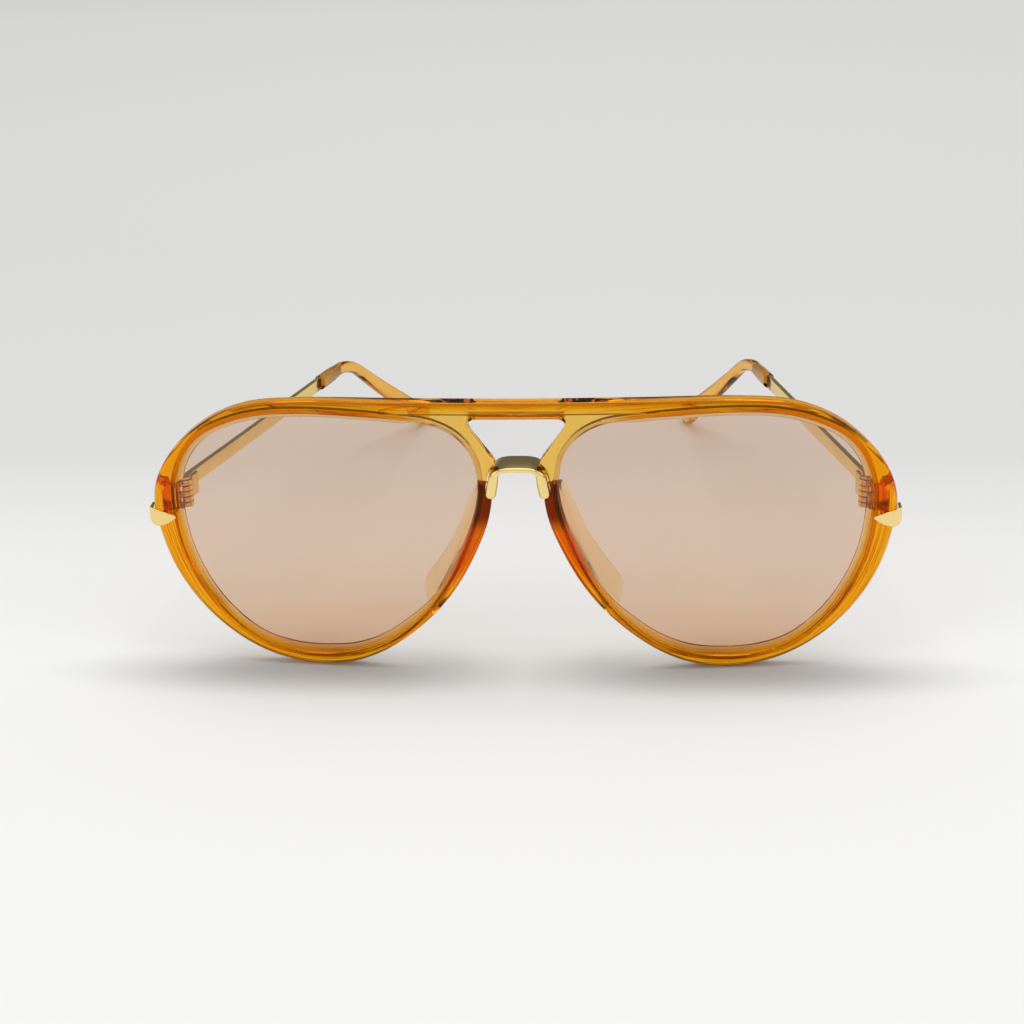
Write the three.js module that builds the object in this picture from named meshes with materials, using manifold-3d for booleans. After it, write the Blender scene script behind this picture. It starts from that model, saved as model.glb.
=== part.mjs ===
// Aviator sunglasses, standing open on a table on the bottoms of the rims and the ends of the tips.
//
// A moulded amber plastic front holds two tinted lenses in a groove. A metal saddle bridge joins the
// rims under the brow bar, and a bonded pad sits behind each rim at the nose. Each outer end of the
// front carries a metal end cap and a five-knuckle hinge, riveted through the plastic, and each
// temple is a flat metal arm with an amber tip pushed onto its end.
//
// Millimetres. +Z up, +X to the viewer's right (the wearer's left), the front faces -Y and the
// temples run back along +Y. The origin is at the middle of the bottom of the whole box.
// The front is drawn flat, in X (across) and Z (up) with Y as its depth, then curved and leaned.

import * as THREE from "three";
import { TessellateModifier } from "three/addons/modifiers/TessellateModifier.js";
import { mergeVertices } from "three/addons/utils/BufferGeometryUtils.js";
import Module from "manifold-3d";

const wasm = await Module();
wasm.setup();

// ---- driving dimensions --------------------------------------------------------------------

const FRONT_WIDTH = 145.8; // plastic front, outer end to outer end
const FRONT_HEIGHT = 57.6; // bottom of the rims to the top of the brow bar, along the lean
const FRONT_DEPTH = 3; // thickness of the moulded plastic
const FRONT_LEAN = 1.5; // degrees that the top of the front leans forward
const FRONT_WRAP = 5.4; // how far the outer ends stand back from the middle
const FRONT_DISH = 0.8; // how far the top and bottom stand back from mid height

const LENS_DEPTH = 1.3; // thickness of a lens
const LENS_RECESS = 0.9; // front face of the plastic to the front face of the lens edge
const LENS_GRIP = 0.8; // how far the lens edge goes into the plastic
const LENS_BULGE = 1.2; // how far the middle of the lens stands forward of its edge
const LENS_CLEARANCE = 0.15; // groove to lens, all round

const BRIDGE_THICK = 0.9; // thickness of the metal over the nose
const LEG_WIDTH = 1.9; // width of its legs, seen from the front
const BRIDGE_DEPTH = 6.6; // front edge to back edge of the saddle
const BRIDGE_PROUD = 1; // how far its front edge stands before the plastic
const BRIDGE_TOP = 46; // top of the saddle, on a front of the drawn height
const BRIDGE_LEG_END = 39.6; // end of its legs, on the same front
const LEG_DEPTH = 3.2; // front edge to back edge of a leg at its end
const BRIDGE_CLEARANCE = 0.2; // bridge to the recess in the plastic

const PAD_DEPTH = 6.4; // how far a nose pad stands behind the plastic
const PAD_FLARE = 0.24; // sideways run of a pad for each millimetre back
const PAD_GAP = 0.3; // bond line between a pad and the plastic

const CAP_WALL = 0.5; // thickness of an end cap's metal
const CAP_HEIGHT = 3.9; // top to bottom of a cap at the outer end
const CAP_DROP = 0.6; // its top there, below the widest height of the front
const CAP_REACH = 4.7; // how far a cap's point reaches in from the plastic's outer end
const CAP_DEPTH = 2.3; // how far its wall runs back along the outer end
const CAP_CLEARANCE = 0.2; // cap to plastic

const HINGE_INSET = 5.8; // hinge axis in from the plastic's outer end
const HINGE_RISE = 0.6; // middle of the hinge above the widest height of the front
const KNUCKLES = 5; // knuckles in a hinge, three on the front and two on the temple
const KNUCKLE_HEIGHT = 1;
const KNUCKLE_RADIUS = 1.4;
const KNUCKLE_GAP = 0.15; // between one knuckle and the next
const LEAF_CLEARANCE = 0.22; // between the temple's knuckles and the front leaf
const SCREW_RADIUS = 0.55;
const SCREW_CLEARANCE = 0.08; // screw to knuckle hole
const SCREW_HEAD_RADIUS = 1.05;
const SCREW_HEAD_HEIGHT = 0.45;
const SCREW_SLOT = 0.3; // width and depth of the slot in its head
const LEAF_THICK = 0.8; // plates of both hinge leaves
const LEAF_LENGTH = 2.8; // temple leaf, along the arm
const LEAF_HEIGHT = 4.7;
const PLATE_HEIGHT = 9.2; // front leaf's plate where it lies on the plastic
const PLATE_WIDTH = 3.2;
const PLATE_MIDDLE = 2.4; // middle of the plate, and its rivets, in from the outer end
const RIVET_RADIUS = 0.6;
const RIVET_HEAD_RADIUS = 1.05;
const RIVET_HEAD_HEIGHT = 0.45;
const RIVET_DEPTH = 2.4; // how deep a rivet goes into the plastic
const RIVET_SPREAD = 5.6; // from one rivet of a hinge to the other
const JOINT_GAP = 0.25; // between metal parts that lie on each other

const TEMPLE_TOE_IN = 10.3; // degrees that an open temple runs inwards
const ARM_THICK = 1.15;
const ARM_HEIGHT = 3.1;
const ARM_LENGTH = 79.5; // hinge axis to the mouth of the tip
const ARM_RISE = 1.6; // middle of the arm above the middle of the hinge
const CORE_LENGTH = 13; // the part of the arm inside the tip
const CORE_HEIGHT = 1.8;
const CORE_CLEARANCE = 0.2; // core to the slot in the tip
const TIP_THICK = 2.6;
const TIP_MOUTH = 3.6; // height of the tip where the arm goes in
const TIP_NECK = 3; // its height at the ear bend
const TIP_WIDTH = 5; // its width at its end
const TIP_BEND_AT = 99.6; // hinge axis to the ear bend
const TIP_BEND_RADIUS = 25; // middle line of the ear bend
const TIP_LEG = 41.5; // ear bend to the end of the tip
const TIP_LEG_DROP = 31.6; // degrees that the leg runs down, from the arm's own line
const TIP_CURVE_IN = 8; // how far the end of the tip curves in from the arm's line

const ROUND_STEPS = 24; // flats on a round part
const OUTLINE_STEP = 3; // spacing of points along the front's outlines
const BRIDGE_STEP = 1.2; // the same along the bridge
const LENS_FACET = 9; // longest facet on a lens
const LENS_SPLITS = 16; // rounds of splitting, enough for every edge to reach that length

// ---- colours and finishes ------------------------------------------------------------------

const amberPlastic = new THREE.MeshStandardMaterial({ color: 0xe8a63c, roughness: 0.12 });
const amberTip = new THREE.MeshStandardMaterial({ color: 0xd98a24, roughness: 0.15 });
const padPlastic = new THREE.MeshStandardMaterial({ color: 0xa8431c, roughness: 0.2 });
const goldMetal = new THREE.MeshStandardMaterial({ color: 0xcda765, roughness: 0.22, metalness: 1 });
const peachLens = new THREE.MeshStandardMaterial({ color: 0xdcbfa6, roughness: 0.05 });

// ---- solids --------------------------------------------------------------------------------

/** A geometry's positions alone, with its shared vertices merged. */
function bare(geometry) {
  const plain = geometry.clone();
  plain.deleteAttribute("normal");
  plain.deleteAttribute("uv");
  return mergeVertices(plain, 1e-4);
}

function toSolid(geometry) {
  const merged = bare(geometry);
  return new wasm.Manifold(
    new wasm.Mesh({
      numProp: 3,
      vertProperties: Float32Array.from(merged.attributes.position.array),
      triVerts: Uint32Array.from(merged.index.array),
    }),
  );
}

function toGeometry(solid) {
  const mesh = solid.getMesh();
  const geometry = new THREE.BufferGeometry();
  geometry.setAttribute("position", new THREE.BufferAttribute(mesh.vertProperties, 3));
  geometry.setIndex(new THREE.BufferAttribute(mesh.triVerts, 1));
  return geometry;
}

function cut(body, ...tools) {
  return toGeometry(tools.reduce((solid, tool) => solid.subtract(toSolid(tool)), toSolid(body)));
}

function join(body, ...others) {
  return toGeometry(others.reduce((solid, other) => solid.add(toSolid(other)), toSolid(body)));
}

/** The same geometry on the other side of the middle plane, with its faces still pointing out. */
function mirrored(geometry) {
  const copy = bare(geometry);
  copy.scale(-1, 1, 1);
  const corners = copy.index.array;
  for (let i = 0; i < corners.length; i += 3) {
    [corners[i], corners[i + 1]] = [corners[i + 1], corners[i]];
  }
  return copy;
}

/** Moves every vertex by a rule that changes the vector it is given. */
function reshaped(geometry, rule) {
  const copy = bare(geometry);
  const position = copy.attributes.position;
  const point = new THREE.Vector3();
  for (let i = 0; i < position.count; i += 1) {
    point.fromBufferAttribute(position, i);
    rule(point);
    position.setXYZ(i, point.x, point.y, point.z);
  }
  return copy;
}

/** A shape drawn in X and Z, as a solid from the depth `near` to the depth `far` along Y. */
function acrossFront(shape, near, far) {
  const geometry = new THREE.ExtrudeGeometry(shape, { depth: far - near, bevelEnabled: false });
  geometry.rotateX(Math.PI / 2);
  geometry.translate(0, far, 0);
  return geometry;
}

/** A shape drawn in Y and Z, as a solid `thick` wide along X, centred on X = `middle`. */
function besideHead(shape, thick, middle, bevel = 0) {
  const geometry = new THREE.ExtrudeGeometry(shape, {
    depth: thick - 2 * bevel,
    bevelEnabled: bevel > 0,
    bevelThickness: bevel,
    bevelSize: bevel,
    bevelOffset: -bevel,
    bevelSegments: 3,
    curveSegments: 12,
  });
  geometry.translate(0, 0, bevel - thick / 2);
  const axes = new THREE.Matrix4().makeBasis(
    new THREE.Vector3(0, 1, 0),
    new THREE.Vector3(0, 0, 1),
    new THREE.Vector3(1, 0, 0),
  );
  geometry.applyMatrix4(axes);
  geometry.translate(middle, 0, 0);
  return geometry;
}

/** An upright rod with its middle at the origin. */
function uprightRod(radius, height) {
  return new THREE.CylinderGeometry(radius, radius, height, ROUND_STEPS).rotateX(Math.PI / 2);
}

/** A rod along Y with its middle at the origin. */
function throughRod(radius, length) {
  return new THREE.CylinderGeometry(radius, radius, length, ROUND_STEPS);
}

function block(width, depth, height) {
  return new THREE.BoxGeometry(width, depth, height);
}

// ---- outlines of the front -----------------------------------------------------------------

const HALF_WIDTH = FRONT_WIDTH / 2;
const DRAWN_HALF = 72.9; // half width and height that the outline points below are given at
const DRAWN_HEIGHT = 59;

/** Points given for the +X half, stretched to the front's own width and height. */
function fitted(points) {
  return points.map(
    ([x, z]) => new THREE.Vector2((x * HALF_WIDTH) / DRAWN_HALF, (z * FRONT_HEIGHT) / DRAWN_HEIGHT),
  );
}

/** Evenly spaced points along a smooth curve through the ones given. */
function smooth(points, closed, step = OUTLINE_STEP) {
  const curve = new THREE.CatmullRomCurve3(
    points.map((point) => new THREE.Vector3(point.x, point.y, 0)),
    closed,
    "centripetal",
  );
  const count = Math.round(curve.getLength() / step);
  const spaced = curve.getSpacedPoints(count).map((point) => new THREE.Vector2(point.x, point.y));
  return closed ? spaced.slice(0, -1) : spaced;
}

/** A closed outline moved outwards by a distance (it runs anticlockwise). */
function widened(outline, distance) {
  return outline.map((point, i) => {
    const before = outline.at(i - 1);
    const after = outline[(i + 1) % outline.length];
    const along = after.clone().sub(before).normalize();
    return new THREE.Vector2(point.x + along.y * distance, point.y - along.x * distance);
  });
}

// Outer edge of the +X rim, from the middle of the brow bar round to the foot of the bridge.
const RIM_OUTSIDE = fitted([
  [0, 59], [22, 59], [42, 58.8], [51, 57.9], [57, 55.9], [62, 53], [66.3, 49.2], [69.8, 44.8],
  [72, 40.4], [72.9, 35.6], [72.4, 30.4], [70, 21.4], [65.6, 13.4], [59.6, 6.9], [53, 2.6],
  [46.5, 0.5], [40, 0], [34, 0.9], [28.3, 3.4], [22.8, 7.3], [17.4, 12.6], [12, 20.2], [8, 28.2],
  [5.8, 34.2], [4.9, 39.6], [5, 43.4],
]);

// The height at which the front is widest, where the hinges and the caps are.
const WIDEST = fitted([[72.9, 35.6]])[0].y;

// The sloping edge of the opening between the bridge and the brow bar.
const BROW_EDGE = fitted([[3.9, 46.3], [4.7, 47.3], [9.3, 53.7], [9.4, 54.8], [8.7, 55.4]]);

// Visible opening of the +X lens, anticlockwise from the top.
const LENS_OPENING = smooth(
  fitted([
    [41, 56.2], [31, 55.9], [22, 55.2], [16, 54.1], [11.6, 51.6], [8.7, 47.6], [7.6, 42],
    [8.2, 36.4], [10.5, 29.2], [14, 21.3], [19.6, 12.9], [26, 7], [33, 3.7], [40, 2.8],
    [46.5, 3.2], [53, 5.3], [59.2, 10.5], [64, 17.7], [67, 26], [68.1, 35], [67.7, 40.8],
    [65.9, 45.8], [62.4, 50.2], [57, 53.4], [50, 55.5],
  ]),
  true,
);

const MID_HEIGHT = FRONT_HEIGHT / 2;

/** How far the curved front stands back at a place on it. */
function standsBack(x, z) {
  return FRONT_WRAP * (x / HALF_WIDTH) ** 2 + FRONT_DISH * (z / MID_HEIGHT - 1) ** 2;
}

function curveFront(geometry) {
  return reshaped(geometry, (point) => {
    point.y += standsBack(point.x, point.z);
  });
}

/** The closed outline of the whole plastic front. */
function frontOutline() {
  const half = [...smooth(RIM_OUTSIDE, false), ...BROW_EDGE];
  const other = half.slice(1).map((point) => new THREE.Vector2(-point.x, point.y));
  return [...half, ...other.reverse()].reverse();
}

// ---- bridge --------------------------------------------------------------------------------

/** The outline of a strip along a line, `halves` wide to each side, one value for each point. */
function stripShape(line, halves) {
  const across = line.map((point, i) => {
    const before = line[Math.max(i - 1, 0)];
    const after = line[Math.min(i + 1, line.length - 1)];
    const along = after.clone().sub(before).normalize();
    return new THREE.Vector2(-along.y * halves[i], along.x * halves[i]);
  });
  const upper = line.map((point, i) => point.clone().add(across[i]));
  const lower = line.map((point, i) => point.clone().sub(across[i]));
  return new THREE.Shape([...lower, ...upper.reverse()]);
}

const STRAP_MIDDLE = BRIDGE_TOP - BRIDGE_THICK / 2;

// Middle line of the strap on the +X side, from the top of the saddle down to the leg's end.
const BRIDGE_LINE = fitted([
  [0, STRAP_MIDDLE], [1.8, STRAP_MIDDLE - 0.1], [3.2, STRAP_MIDDLE - 0.5],
  [4.1, STRAP_MIDDLE - 1.3], [4.6, STRAP_MIDDLE - 2.8], [5.25, BRIDGE_LEG_END],
]);
const LEG_STARTS = BRIDGE_LINE[2].x; // the strap widens into a leg from here outwards

/** The strap's outline, `grown` thicker to each side. */
function bridgeShape(grown) {
  const otherSide = BRIDGE_LINE.slice(1).map((point) => new THREE.Vector2(-point.x, point.y));
  const line = smooth([...otherSide.reverse(), ...BRIDGE_LINE], false, BRIDGE_STEP);
  line[0].y -= grown;
  line.at(-1).y -= grown;
  const reach = BRIDGE_LINE.at(-2).x - LEG_STARTS;
  const halves = line.map((point) => {
    const share = THREE.MathUtils.clamp((Math.abs(point.x) - LEG_STARTS) / reach, 0, 1);
    return THREE.MathUtils.lerp(BRIDGE_THICK, LEG_WIDTH, share) / 2 + grown;
  });
  return stripShape(line, halves);
}

/** The saddle: full depth over the nose, its legs narrowing from the back towards their ends. */
function makeBridge() {
  const front = -BRIDGE_PROUD;
  const strap = acrossFront(bridgeShape(0), front, front + BRIDGE_DEPTH);
  const legTop = BRIDGE_LINE[0].y + (BRIDGE_THICK - LEG_WIDTH) / 2;
  const legEnd = BRIDGE_LINE.at(-1).y + LEG_WIDTH / 2;
  return reshaped(strap, (point) => {
    const down = Math.max(0, (legTop - point.z) / (legTop - legEnd));
    const depth = BRIDGE_DEPTH - (BRIDGE_DEPTH - LEG_DEPTH) * Math.min(1, down);
    point.y = front + ((point.y - front) * depth) / BRIDGE_DEPTH;
  });
}

// ---- front, lenses and nose pads -----------------------------------------------------------

const HINGE_X = HALF_WIDTH - HINGE_INSET;
const RIVET_X = HALF_WIDTH - PLATE_MIDDLE;
const HINGE_MIDDLE = WIDEST + HINGE_RISE;
const RIVET_HEIGHTS = [HINGE_MIDDLE - RIVET_SPREAD / 2, HINGE_MIDDLE + RIVET_SPREAD / 2];

// The curved front's back face at the rivets, before it is leaned: its depth and its turn.
const RIVET_SEAT = FRONT_DEPTH + standsBack(RIVET_X, HINGE_MIDDLE);
const WRAP_TURN = Math.atan((2 * FRONT_WRAP * RIVET_X) / HALF_WIDTH ** 2);

function lensCut(grown, near, far) {
  return acrossFront(new THREE.Shape(widened(LENS_OPENING, grown)), near, far);
}

/** Blind holes for the rivets, square to the curved plastic's back face. */
function rivetHoles() {
  const rod = throughRod(RIVET_RADIUS + SCREW_CLEARANCE, 2 * RIVET_DEPTH).rotateZ(WRAP_TURN);
  return RIVET_HEIGHTS.map((height) => rod.clone().translate(RIVET_X, RIVET_SEAT, height));
}

function makeFront() {
  const plate = acrossFront(new THREE.Shape(frontOutline()), 0, FRONT_DEPTH);
  const through = lensCut(0, -1, FRONT_DEPTH + 1);
  const groove = lensCut(
    LENS_GRIP + LENS_CLEARANCE,
    LENS_RECESS - LENS_CLEARANCE,
    LENS_RECESS + LENS_DEPTH + LENS_CLEARANCE,
  );
  const bridgeRecess = acrossFront(bridgeShape(BRIDGE_CLEARANCE), -1, FRONT_DEPTH + 1);
  const openings = [through, groove, mirrored(through), mirrored(groove), bridgeRecess];
  const holes = rivetHoles();
  return cut(curveFront(cut(plate, ...openings)), ...holes, ...holes.map(mirrored));
}

const LENS_MIDDLE = fitted([[38.5, 31]])[0];
const LENS_DOME = fitted([[27, 24]])[0]; // half width and half height of the raised middle

function makeLens() {
  const flat = lensCut(LENS_GRIP, LENS_RECESS, LENS_RECESS + LENS_DEPTH);
  const fine = new TessellateModifier(LENS_FACET, LENS_SPLITS).modify(flat);
  const domed = reshaped(fine, (point) => {
    const across = (point.x - LENS_MIDDLE.x) / LENS_DOME.x;
    const up = (point.z - LENS_MIDDLE.y) / LENS_DOME.y;
    point.y -= LENS_BULGE * Math.max(0, 1 - across ** 2 - up ** 2) ** 2;
  });
  return curveFront(domed);
}

// Crescent behind the nose side of the +X rim: nose edge down, lens edge back up.
const PAD_OUTLINE = fitted([
  [5.9, 41.4], [5.5, 38], [6.3, 34], [8.4, 28.3], [12.3, 20.6], [17, 13.6], [18.8, 12.2],
  [18.4, 15], [15.4, 20.6], [12.2, 27.6], [9.8, 34.5], [8.1, 40], [7, 42],
]);
const PAD_TAPER = 0.02; // share of its height that a pad loses for each millimetre back

function makePad() {
  const near = FRONT_DEPTH + PAD_GAP;
  const shape = new THREE.Shape(smooth(PAD_OUTLINE, true));
  const crescent = acrossFront(shape, near, FRONT_DEPTH + PAD_DEPTH);
  const flared = reshaped(crescent, (point) => {
    const back = point.y - near;
    point.x += PAD_FLARE * back;
    point.z = MID_HEIGHT + (point.z - MID_HEIGHT) * (1 - PAD_TAPER * back);
  });
  return curveFront(flared);
}

// ---- end caps ------------------------------------------------------------------------------

// Outline of a cap, as shares of its length inwards from the root and of its height down.
const CAP_OUTLINE = [
  [0, 0], [0.95, 0.37], [1, 0.44], [0.98, 0.52], [0.82, 0.7], [0.6, 0.88], [0.38, 0.98],
  [0.2, 1], [0.07, 0.88], [0, 0.62],
];

/** A half leaf: straight along the top, rounded below, its point towards the lens. */
function capShape() {
  const root = HALF_WIDTH + CAP_CLEARANCE + CAP_WALL;
  const length = root - HALF_WIDTH + CAP_REACH;
  const top = WIDEST - CAP_DROP;
  const points = CAP_OUTLINE.map(
    ([inwards, down]) => new THREE.Vector2(root - inwards * length, top - down * CAP_HEIGHT),
  );
  return new THREE.Shape(points);
}

/** A clip over the plastic's outer end: a half leaf in front and a wall round the end. */
function makeCap() {
  const body = acrossFront(capShape(), -CAP_CLEARANCE - CAP_WALL, CAP_DEPTH);
  const end = new THREE.Shape(widened(frontOutline(), CAP_CLEARANCE));
  return curveFront(cut(body, acrossFront(end, -CAP_CLEARANCE, FRONT_DEPTH + 1)));
}

// ---- hinges --------------------------------------------------------------------------------

const KNUCKLE_PITCH = KNUCKLE_HEIGHT + KNUCKLE_GAP;
const HINGE_HEIGHT = KNUCKLES * KNUCKLE_PITCH - KNUCKLE_GAP;
const LEAN = THREE.MathUtils.degToRad(FRONT_LEAN);

// How far the hinge axis stands behind the plastic's back face at the rivets: the front leaf lies
// between them, turned with the curve of the front.
const HINGE_STANDOFF = KNUCKLE_RADIUS + LEAF_CLEARANCE
  + (JOINT_GAP + LEAF_THICK) / Math.cos(WRAP_TURN)
  - (RIVET_X - HINGE_X) * Math.tan(WRAP_TURN);

/** The middles of every other knuckle, from the first or the second, above the hinge's middle. */
function everyOther(first) {
  const indices = [...Array(KNUCKLES).keys()].filter((index) => index % 2 === first);
  return indices.map((index) => (index - (KNUCKLES - 1) / 2) * KNUCKLE_PITCH);
}

/** Rings on the hinge axis at the given heights, each with a web, bored for the screw. */
function knuckles(heights, web) {
  const rings = heights.map((height) => {
    const ring = join(uprightRod(KNUCKLE_RADIUS, KNUCKLE_HEIGHT), web);
    return ring.translate(0, 0, height);
  });
  return join(...rings);
}

function screwHole() {
  return uprightRod(SCREW_RADIUS + SCREW_CLEARANCE, 2 * HINGE_HEIGHT);
}

/** Puts a piece drawn on the plastic's back face at the rivets into the hinge's own frame. */
function onBackFace(geometry) {
  geometry.rotateZ(WRAP_TURN);
  geometry.rotateX(LEAN);
  return geometry.translate(RIVET_X - HINGE_X, -HINGE_STANDOFF, 0);
}

/** Front leaf: a plate on the plastic, a shorter tongue behind the lens, and its rings. */
function makeFrontLeaf() {
  const middle = JOINT_GAP + LEAF_THICK / 2;
  const plate = block(PLATE_WIDTH, LEAF_THICK, PLATE_HEIGHT).translate(0, middle, 0);
  const reach = RIVET_X - HINGE_X + KNUCKLE_RADIUS;
  const tongue = block(reach, LEAF_THICK, HINGE_HEIGHT).translate(-reach / 2, middle, 0);
  const holes = RIVET_HEIGHTS.map((height) =>
    throughRod(RIVET_RADIUS + SCREW_CLEARANCE, 4 * LEAF_THICK)
      .translate(0, 0, height - HINGE_MIDDLE),
  );
  const sheet = onBackFace(cut(join(plate, tongue), ...holes));
  const webDepth = KNUCKLE_RADIUS + LEAF_CLEARANCE + LEAF_THICK / 2;
  const web = block(2 * KNUCKLE_RADIUS, webDepth, KNUCKLE_HEIGHT).translate(0, -webDepth / 2, 0);
  return cut(join(knuckles(everyOther(0), web), sheet), screwHole());
}

/** A rivet from the leaf into the plastic, its domed head on the leaf. */
function makeRivet(height) {
  const seat = JOINT_GAP + LEAF_THICK + KNUCKLE_GAP;
  const profile = [
    [0, JOINT_GAP - RIVET_DEPTH],
    [RIVET_RADIUS, JOINT_GAP - RIVET_DEPTH],
    [RIVET_RADIUS, seat],
    [RIVET_HEAD_RADIUS, seat],
    [RIVET_HEAD_RADIUS * 0.8, seat + RIVET_HEAD_HEIGHT * 0.7],
    [0, seat + RIVET_HEAD_HEIGHT],
  ];
  const points = profile.map(([radius, along]) => new THREE.Vector2(radius, along));
  const rivet = new THREE.LatheGeometry(points, ROUND_STEPS);
  return onBackFace(rivet.translate(0, 0, height - HINGE_MIDDLE));
}

/** Temple leaf: two rings on a strip that lies on the inside of the arm. */
function makeTempleLeaf(drop) {
  const middle = ARM_MIDDLE - ARM_THICK / 2 - JOINT_GAP - LEAF_THICK / 2;
  const start = KNUCKLE_RADIUS + JOINT_GAP;
  const strip = block(LEAF_THICK, LEAF_LENGTH, LEAF_HEIGHT);
  strip.translate(middle, start + LEAF_LENGTH / 2, ARM_RISE / 2).rotateX(-drop);
  const reach = start + JOINT_GAP;
  const web = block(LEAF_THICK, reach, KNUCKLE_HEIGHT).translate(middle, reach / 2, 0);
  return cut(join(knuckles(everyOther(1), web), strip), screwHole());
}

/** The screw that is the hinge's pin, its slotted head on the top ring. */
function makeScrew() {
  const seat = HINGE_HEIGHT / 2 + KNUCKLE_GAP;
  const profile = [
    [0, -HINGE_HEIGHT / 2],
    [SCREW_RADIUS, -HINGE_HEIGHT / 2],
    [SCREW_RADIUS, seat],
    [SCREW_HEAD_RADIUS, seat],
    [SCREW_HEAD_RADIUS, seat + SCREW_HEAD_HEIGHT],
    [0, seat + SCREW_HEAD_HEIGHT],
  ];
  const points = profile.map(([radius, along]) => new THREE.Vector2(radius, along));
  const screw = new THREE.LatheGeometry(points, ROUND_STEPS).rotateX(Math.PI / 2);
  const slot = block(4 * SCREW_HEAD_RADIUS, SCREW_SLOT, 2 * SCREW_SLOT);
  return cut(screw, slot.translate(0, 0, seat + SCREW_HEAD_HEIGHT));
}

// ---- temples -------------------------------------------------------------------------------

const ARM_MIDDLE = KNUCKLE_RADIUS - ARM_THICK / 2; // outward of the hinge axis
const LEG_ANGLE = THREE.MathUtils.degToRad(TIP_LEG_DROP);
const BEND_STEPS = 8;
const LEG_STEPS = 4;
const END_STEPS = 6; // points round the end of the tip

/** Middle line of a tip in Y (along the arm) and Z, from its mouth to its end, with half widths. */
function tipLine() {
  const bendStart = TIP_BEND_AT - TIP_BEND_RADIUS * Math.tan(LEG_ANGLE / 2);
  const line = [new THREE.Vector2(ARM_LENGTH, 0), new THREE.Vector2((ARM_LENGTH + bendStart) / 2, 0)];
  const widths = [TIP_MOUTH, TIP_MOUTH];
  for (let i = 0; i <= BEND_STEPS; i += 1) {
    const angle = (LEG_ANGLE * i) / BEND_STEPS;
    const rise = TIP_BEND_RADIUS * (Math.cos(angle) - 1);
    line.push(new THREE.Vector2(bendStart + TIP_BEND_RADIUS * Math.sin(angle), rise));
    widths.push(TIP_NECK);
  }
  const foot = line.at(-1);
  const along = new THREE.Vector2(Math.cos(LEG_ANGLE), -Math.sin(LEG_ANGLE));
  const straight = TIP_LEG - TIP_WIDTH / 2;
  for (let i = 1; i <= LEG_STEPS; i += 1) {
    const share = i / LEG_STEPS;
    line.push(foot.clone().addScaledVector(along, straight * share));
    widths.push(THREE.MathUtils.lerp(TIP_NECK, TIP_WIDTH, share));
  }
  for (let i = 1; i < END_STEPS; i += 1) {
    const angle = (Math.PI / 2) * (i / END_STEPS);
    const past = (TIP_WIDTH / 2) * Math.sin(angle);
    line.push(foot.clone().addScaledVector(along, straight + past));
    widths.push(TIP_WIDTH * Math.cos(angle));
  }
  return { line, halves: widths.map((width) => width / 2) };
}

/** The tip's outline: narrowest at the bend, widening down the leg to a half-round end. */
function tipShape() {
  const { line, halves } = tipLine();
  return stripShape(line, halves);
}

/** How far an arm runs down so that the end of its tip rests on the table. */
function restingDrop(armHeight) {
  const drops = tipShape().getPoints().map((point) => {
    const reach = point.length();
    return Math.atan2(point.y, point.x) + Math.asin(armHeight / reach);
  });
  return Math.min(...drops.slice(0, -1));
}

/** The flat metal arm, its narrow core going on inside the tip. */
function makeArm() {
  const half = ARM_HEIGHT / 2;
  const core = CORE_HEIGHT / 2;
  const butt = KNUCKLE_RADIUS + JOINT_GAP;
  const mouth = ARM_LENGTH - JOINT_GAP;
  const end = ARM_LENGTH + CORE_LENGTH;
  const outline = new THREE.Shape([
    new THREE.Vector2(butt, -half),
    new THREE.Vector2(mouth, -half),
    new THREE.Vector2(mouth, -core),
    new THREE.Vector2(end, -core),
    new THREE.Vector2(end, core),
    new THREE.Vector2(mouth, core),
    new THREE.Vector2(mouth, half),
    new THREE.Vector2(butt, half),
  ]);
  return besideHead(outline, ARM_THICK, ARM_MIDDLE);
}

/** The amber tip, slotted at its mouth for the core and curved in towards the head. */
function makeTip() {
  const solid = besideHead(tipShape(), TIP_THICK, ARM_MIDDLE, TIP_THICK / 4);
  const slot = block(
    ARM_THICK + 2 * CORE_CLEARANCE,
    2 * (CORE_LENGTH + CORE_CLEARANCE),
    CORE_HEIGHT + 2 * CORE_CLEARANCE,
  );
  const slotted = cut(solid, slot.translate(ARM_MIDDLE, ARM_LENGTH, 0));
  const start = ARM_LENGTH + CORE_LENGTH;
  const end = tipLine().line.at(-1).x;
  return reshaped(slotted, (point) => {
    const share = Math.max(0, (point.y - start) / (end - start));
    point.x -= TIP_CURVE_IN * share ** 1.5;
  });
}

// ---- assembly ------------------------------------------------------------------------------

function addPiece(group, name, geometry, material) {
  const piece = new THREE.Mesh(geometry, material);
  piece.name = name;
  group.add(piece);
}

const glasses = new THREE.Group();
const front = new THREE.Group();
front.rotation.x = LEAN;
front.updateMatrix();
glasses.add(front);

addPiece(front, "front_frame", makeFront(), amberPlastic);
addPiece(front, "bridge", makeBridge(), goldMetal);

const rivetPlace = new THREE.Vector3(RIVET_X, RIVET_SEAT, HINGE_MIDDLE).applyMatrix4(front.matrix);
const hingeHeight = rivetPlace.z;
const templeDrop = restingDrop(hingeHeight + ARM_RISE);

const lens = makeLens();
const pad = makePad();
const cap = makeCap();
const frontLeaf = makeFrontLeaf();
const templeLeaf = makeTempleLeaf(templeDrop);
const screw = makeScrew();
const [lowRivet, highRivet] = RIVET_HEIGHTS.map(makeRivet);
const arm = makeArm();
const tip = makeTip();

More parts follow.
